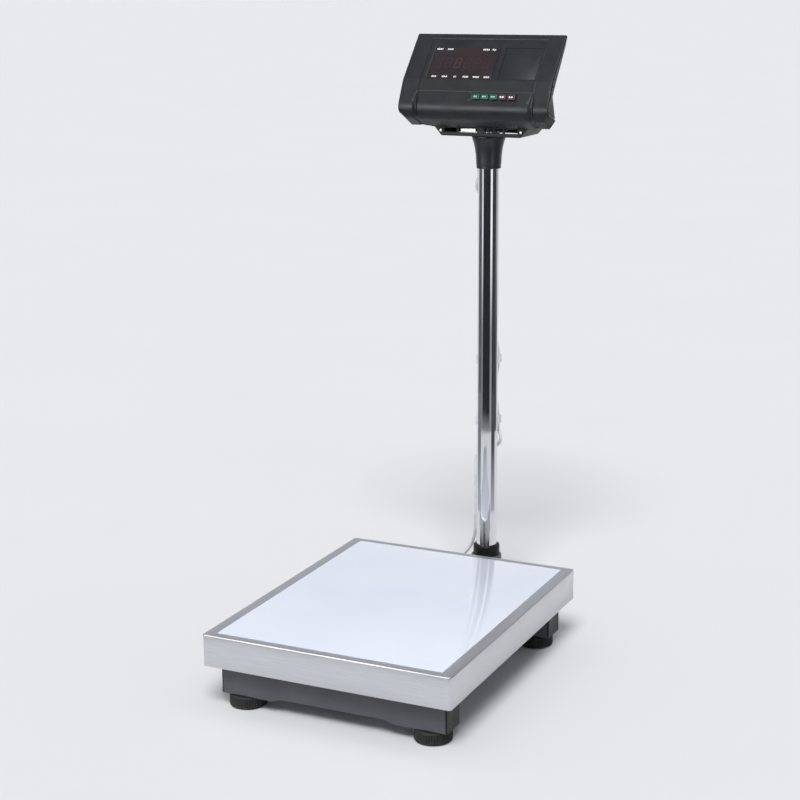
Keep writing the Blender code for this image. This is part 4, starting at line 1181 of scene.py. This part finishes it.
def build_keys():
    edge = ((-0.0005, 0.0040), (-0.0005, 0.0030), (0, 0.0029), (0, -0.0006))
    edge += ((0.0002, -0.0010), (0.0006, -0.0013), (0.0012, -0.0014))
    for number, x in enumerate(KEY_X, 1):
        finish, ink = (GREEN_KEY, MINT_INK) if number <= 3 else (MAROON_KEY, LEGEND)
        name = f"key_{number}"
        rings = []
        for inset, depth in edge:
            corner = 0.0014 - min(inset, 0.0008)
            outline = rounded_rectangle(KEY_HALF - inset, KEY_HALF_TALL - inset, corner, (x, KEY_S), 6)
            rings.append([on_case(px, ps, depth) for px, ps in outline])
        made_piece(f"key_cap_{number}", loft(rings), finish, name, (name,), smooth=50)
        mark = legend(x, KEY_S, 0.0080 if number > 1 else 0.0062, -0.0014, 0.0026)
        made_piece(f"key_print_{number}", mark, ink, name)


def from_pivot(low, high):
    return box_mesh(PIVOT + Vector(low), PIVOT + Vector(high))


RIDGE = (BACK_Y, 0.095)  # Y and Z where the vent slope starts, and where it ends
CREST = (0.034, 0.124)


def build_rear_shell():
    """The back of the casing: full depth in the middle, and swept towards its sides."""
    split = SHELL_DEPTH + 0.0010
    count = 44
    top_trim = 0.0015
    run = FACE_LENGTH + GAP - top_trim
    heel = face_point(FACE_LENGTH + 0.0004, 0.0)
    sweep = ((0.0, 1.0), (0.083, 1.0), (0.088, 0.95), (0.094, 0.82))
    sweep += ((0.104, 0.56), (CORNER_X, 0.15), (0.1233, 0.06))
    half = []
    for x, share in sweep:
        depth = split + 0.1 * max(0.0, x - CORNER_X)
        front = [tuple(face_point(top_trim + run * i / count, depth)) for i in range(count + 1)]
        back = [(*heel, front[-1]), (0.045, heel.y, front[-1]), (BACK_Y, 0.008, front[24])]
        back += [(*RIDGE, front[6]), (*CREST, front[0])]
        swept = [(py + share * (y - py), pz + share * (z - pz)) for y, z, (py, pz) in back]
        half.append((x, front + swept))
    both = [(-x, outline) for x, outline in reversed(half[1:])] + half
    rings = [[lifted(x, y, z) for y, z in outline] for x, outline in both]
    shell = made_piece(
        "rear_shell_moulded", loft(rings), CASING, "indicator", ("rear_shell",), smooth=32
    )
    out = BACK_Y + 0.002
    cut_from(shell, from_pivot((-0.0425, -0.026, -0.005), (0.0425, 0.0425, 0.0198)), "tilt_pocket")
    cut_from(shell, from_pivot((-0.070, BACK_Y - 0.006, 0.030), (0.014, out, 0.084)), "battery_bay")
    cut_from(shell, from_pivot((0.046, BACK_Y - 0.014, 0.066), (0.074, out, 0.086)), "inlet_hole")
    round_edges(shell, 0.0016, 3)


def build_tray():
    """The narrower rim below the casing, with its shallow hollow."""
    outer = (-0.0362, 0.045)
    inner = (-0.0337, 0.0425)
    mesh = bmesh.new()
    rows = []
    for half, (y_low, y_high), z in (
        (0.083, outer, 0.0),
        (0.069, outer, -0.016),
        (0.0655, inner, -0.016),
        (0.0775, inner, 0.0),
    ):
        corners = ((-half, y_low, z), (half, y_low, z), (half, y_high, z), (-half, y_high, z))
        rows.append([mesh.verts.new(PIVOT + Vector(corner)) for corner in corners])
    add_faces(mesh, rows + [rows[0]])
    # The tray takes the black moulding, darker than the casing's charcoal: painted shade for the dark hollow
    # under the casing.
    tray = made_piece("casing_tray", outward(mesh), BLACK, "indicator")
    slots = ((-0.064, -0.042), (-0.038, -0.006), (0.006, 0.038), (0.042, 0.064))
    for number, (left, right) in enumerate(slots, 1):
        slot = from_pivot((left, outer[0] - 0.002, -0.0098), (right, inner[0] + 0.001, -0.0030))
        cut_from(tray, slot, f"tray_slot_{number}")
    round_edges(tray, 0.0009, 2)
    flange = from_pivot((-0.036, -0.0325, -0.0090), (-0.010, -0.0310, -0.0040))
    made_piece("bracket_flange", flange, ZINC, "indicator", bevel=0.0005, segments=2)
    for number, x in enumerate((-0.070, 0.070), 1):
        place = PIVOT + Vector((x, outer[0] + 0.0005, -0.0075))
        screw(f"tray_screw_{number}", place, (0, -1, 0), 0.0026, 0.0014, "indicator")
    ceiling = from_pivot((-0.0775, inner[0], -0.0025), (0.0775, inner[1], -0.0005))
    plate = made_piece("tray_ceiling", ceiling, CASING, "indicator")
    cut_from(plate, from_pivot((-0.0425, -0.026, -0.005), (0.0425, 0.0425, 0.005)), "tray_opening")


def build_hatch():
    """The battery's door with its grip ribs and its latch."""
    low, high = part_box("battery_door")
    high.y -= BACK_RELIEF
    seat = high.y - 0.0008
    made_piece(
        "battery_hatch", box_mesh(low, high), CASING, "indicator", ("battery_door",),
        bevel=0.0006,
    )
    for number in range(6):
        x = low.x + 0.012 + 0.0042 * number
        rib = box_mesh((x, seat, low.z + 0.010), (x + 0.0018, high.y + 0.0009, high.z - 0.010))
        made_piece(f"hatch_rib_{number + 1}", rib, CASING, "indicator", bevel=0.0004, segments=2)
    latch = box_mesh((high.x - 0.013, seat, low.z + 0.021), (high.x - 0.004, high.y + 0.0010, low.z + 0.033))
    made_piece("hatch_latch", latch, BLACK, "indicator", bevel=0.0005)


def build_inlet():
    refined("mains_inlet", BLACK, 0.0005, "indicator")
    low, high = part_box("mains_inlet")
    centre = middle("mains_inlet")
    for number, (x, z) in enumerate(((-0.0055, -0.0018), (0.0, 0.0022), (0.0055, -0.0018)), 1):
        pin_low = (centre.x + x - 0.0008, low.y + 0.001, centre.z + z - 0.0022)
        pin_high = (centre.x + x + 0.0008, high.y - 0.002, centre.z + z + 0.0022)
        pin = box_mesh(pin_low, pin_high)
        made_piece(f"inlet_pin_{number}", pin, ZINC, "indicator", bevel=0.0003, segments=2)


def build_back_details():
    build_hatch()
    build_inlet()
    outline = rounded_section((0.030, 0.020), (0.082, 0.056), 0.002, 8)
    depths = (BACK_Y - 0.0004, BACK_Y + 0.0002)
    plate = loft([[PIVOT + Vector((x, y, z)) for x, z in outline] for y in depths])
    made_piece("rating_plate", plate, FILM, "indicator")
    for number, (x, z) in enumerate(four(0.078, 0.014, 0.090), 1):
        place = PIVOT + Vector((x, BACK_Y - 0.0006, z))
        screw(f"case_screw_{number}", place, (0, 1, 0), 0.0032, 0.0016, "indicator")
    heading = (Vector(CREST) - Vector(RIDGE)).normalized()
    away = Vector((heading.y, -heading.x))
    profile = ((0.006, -0.001), (0.028, -0.001), (0.028, 0.0008), (0.006, 0.0008))
    corners = [Vector(RIDGE) + along * heading + out * away for along, out in profile]
    for number in range(9):
        left = -0.040 + 0.010 * number
        louvre = loft([[PIVOT + Vector((x, y, z)) for y, z in corners] for x in (left, left + 0.0045)])
        made_piece(f"vent_louvre_{number + 1}", louvre, CASING, "indicator", bevel=0.0006, segments=2)


def build_electronics():
    for board in ("display_board", "key_board", "main_board"):
        refined(board, BOARD, 0.0002, "indicator")
    refined("battery", BLACK, 0.0015, "indicator")
    refined("transformer", ZINC, 0.0008, "indicator")


# Stage. Bearings are in degrees from the camera's own, and heights and reaches are in metres

CAMERA_BEARING = -67.5
CAMERA_TURN, CAMERA_DOWN, CAMERA_ROLL = (math.radians(angle) for angle in (25.41, 13.757, -0.355))
CAMERA_OFFSET = (1.1136, -2.3305, 0.9509)
CAMERA_LENS = 79.49
FLOOR_HALF = 90.0
FLAG_REACH = 1.15
FLAG_TOP = 1.6
FLAG_KNEE = 0.10
FLAG_FOOT = 0.006
CARDS = (((-122, -73), 0.20, 0.52), ((-55, 24), 0.045, FLAG_REACH), ((46, 92), 0.08, 0.52))  # tone, foot
GLOWS = (((-73, -55), 0.95), ((24, 46), 1.15), ((92, 121), 0.40))  # strength
CARD_FADE = (0.0, 0.055)
CARD_FOOT = (0.50, 0.51, 0.53)
GLOW_FADE = (0.25, 0.47)
SKY_COLOR = (0.92, 0.955, 1.0, 1.0)
SKY = (0.87, 0.45)
SKY_FADE = (0.0, 0.38)


def build_camera():
    """The camera, given by its place and its turn to the left, down and about its own axis."""
    level = math.cos(CAMERA_DOWN)
    ahead = Vector((-math.sin(CAMERA_TURN) * level, math.cos(CAMERA_TURN) * level, -math.sin(CAMERA_DOWN)))
    right = Vector((math.cos(CAMERA_TURN), math.sin(CAMERA_TURN), 0))
    up = right.cross(ahead)
    side = right * math.cos(CAMERA_ROLL) + up * math.sin(CAMERA_ROLL)
    top = up * math.cos(CAMERA_ROLL) - right * math.sin(CAMERA_ROLL)
    data = bpy.data.cameras.new("photo_view")
    data.sensor_width = 36.0
    data.lens = CAMERA_LENS
    data.clip_end = 60.0
    matrix = Matrix((side, top, -ahead)).transposed().to_4x4()
    matrix.translation = Vector((*PAN_CENTRE, PAN_HIGH.z)) + Vector(CAMERA_OFFSET)
    camera = bpy.data.objects.new("photo_view", data)
    camera.matrix_world = matrix
    bpy.context.collection.objects.link(camera)
    bpy.context.scene.camera = camera


def new_light(name, kind, power, direction):
    """A light that shines along a direction."""
    data = bpy.data.lights.new(name, kind)
    data.energy = power
    light = bpy.data.objects.new(name, data)
    light.rotation_mode = "QUATERNION"
    light.rotation_quaternion = Vector(direction).to_track_quat("-Z", "Y")
    bpy.context.collection.objects.link(light)
    return light


def build_lights():
    sun = new_light("soft_sun", "SUN", 2.65, (-0.2, 0.6, -0.85))
    sun.data.angle = math.radians(24)
    place = Vector((-0.91, -1.83, 1.13))
    lamp = new_light("lip_light", "AREA", 40.0, Vector((0, POLE.y, PIVOT.z)) - place)
    lamp.location = place
    lamp.data.shape = "RECTANGLE"
    lamp.data.size, lamp.data.size_y = 1.6, 0.46
    lamp.visible_camera = False
    lamp.visible_diffuse = False


def height(owner, space):
    """The Z of a texture space: a point's height, or how steeply a ray of the world looks up."""
    parts = node(owner, "ShaderNodeSeparateXYZ")
    link(owner, node(owner, "ShaderNodeTexCoord").outputs[space], parts.inputs["Vector"])
    return parts.outputs["Z"]


def build_world():
    """A soft sky, brighter at the horizon than overhead."""
    world = bpy.data.worlds.new("studio")
    world.use_nodes = True
    background = world.node_tree.nodes["Background"]
    background.inputs["Color"].default_value = SKY_COLOR
    link(world, ramp(world, height(world, "Generated"), *SKY, SKY_FADE), background.inputs["Strength"])
    bpy.context.scene.world = world
    bpy.context.scene.view_settings.view_transform = "Standard"


def build_floor():
    mesh = bmesh.new()
    signs = ((-1, -1), (1, -1), (1, 1), (-1, 1))
    mesh.faces.new([mesh.verts.new((FLOOR_HALF * x, FLOOR_HALF * y, 0)) for x, y in signs])
    new_object("floor", mesh, make_floor())


def make_card(name, color):
    """A studio card that pales towards the floor."""
    made = principled(name, color, 0.9, Specular_IOR_Level=0.0)
    tinted(made, height(made, "Object"), CARD_FOOT, color, CARD_FADE)
    return made


def make_glow(name, strength):
    """A light panel that is brighter towards its top."""
    made = principled(name, (0, 0, 0), 1.0, Specular_IOR_Level=0.0, Emission_Color=(1, 1, 1, 1))
    glow = ramp(made, height(made, "Object"), 0.28 * strength, strength, GLOW_FADE)
    connect(made, glow, "Emission Strength")
    return made


def upright(name, bearings, finish, foot):
    """A curved upright panel round the pole between two bearings, seen only in reflections."""
    mesh = bmesh.new()
    profile = [(FLAG_REACH, FLAG_TOP), (FLAG_REACH, FLAG_KNEE), (foot, FLAG_FOOT)]
    rows = [[] for _ in profile]
    for step in range(13):
        turn = math.radians(CAMERA_BEARING + bearings[0] + (bearings[1] - bearings[0]) * step / 12)
        for row, (reach, z) in zip(rows, profile):
            row.append(mesh.verts.new((POLE.x + reach * math.cos(turn), POLE.y + reach * math.sin(turn), z)))
    add_faces(mesh, rows, closed=False)
    panel = new_object(name, mesh, finish)
    panel.visible_camera = False
    panel.visible_diffuse = False
    panel.visible_shadow = False


def build_flags():
    """Dark cards and light panels round the pole, as a studio sets round chrome."""
    for number, (bearings, tone, foot) in enumerate(CARDS, 1):
        upright(f"card_{number}", bearings, make_card(f"card_{number}_cloth", (tone, tone, 1.1 * tone)), foot)
    for number, (bearings, strength) in enumerate(GLOWS, 1):
        upright(f"panel_{number}", bearings, make_glow(f"panel_{number}_light", strength), FLAG_REACH)


for build in (
    build_pan, build_sheet, build_base, build_arm, build_pole, build_collar, build_clamp_bolt, build_gland,
    build_clips, build_grommet, build_cables, build_neck, build_knobs, build_front_shell, build_window,
    build_label, build_keys, build_rear_shell, build_tray, build_back_details, build_bracket,
    build_electronics, build_camera, build_floor, build_flags, build_world, build_lights,
):
    build()
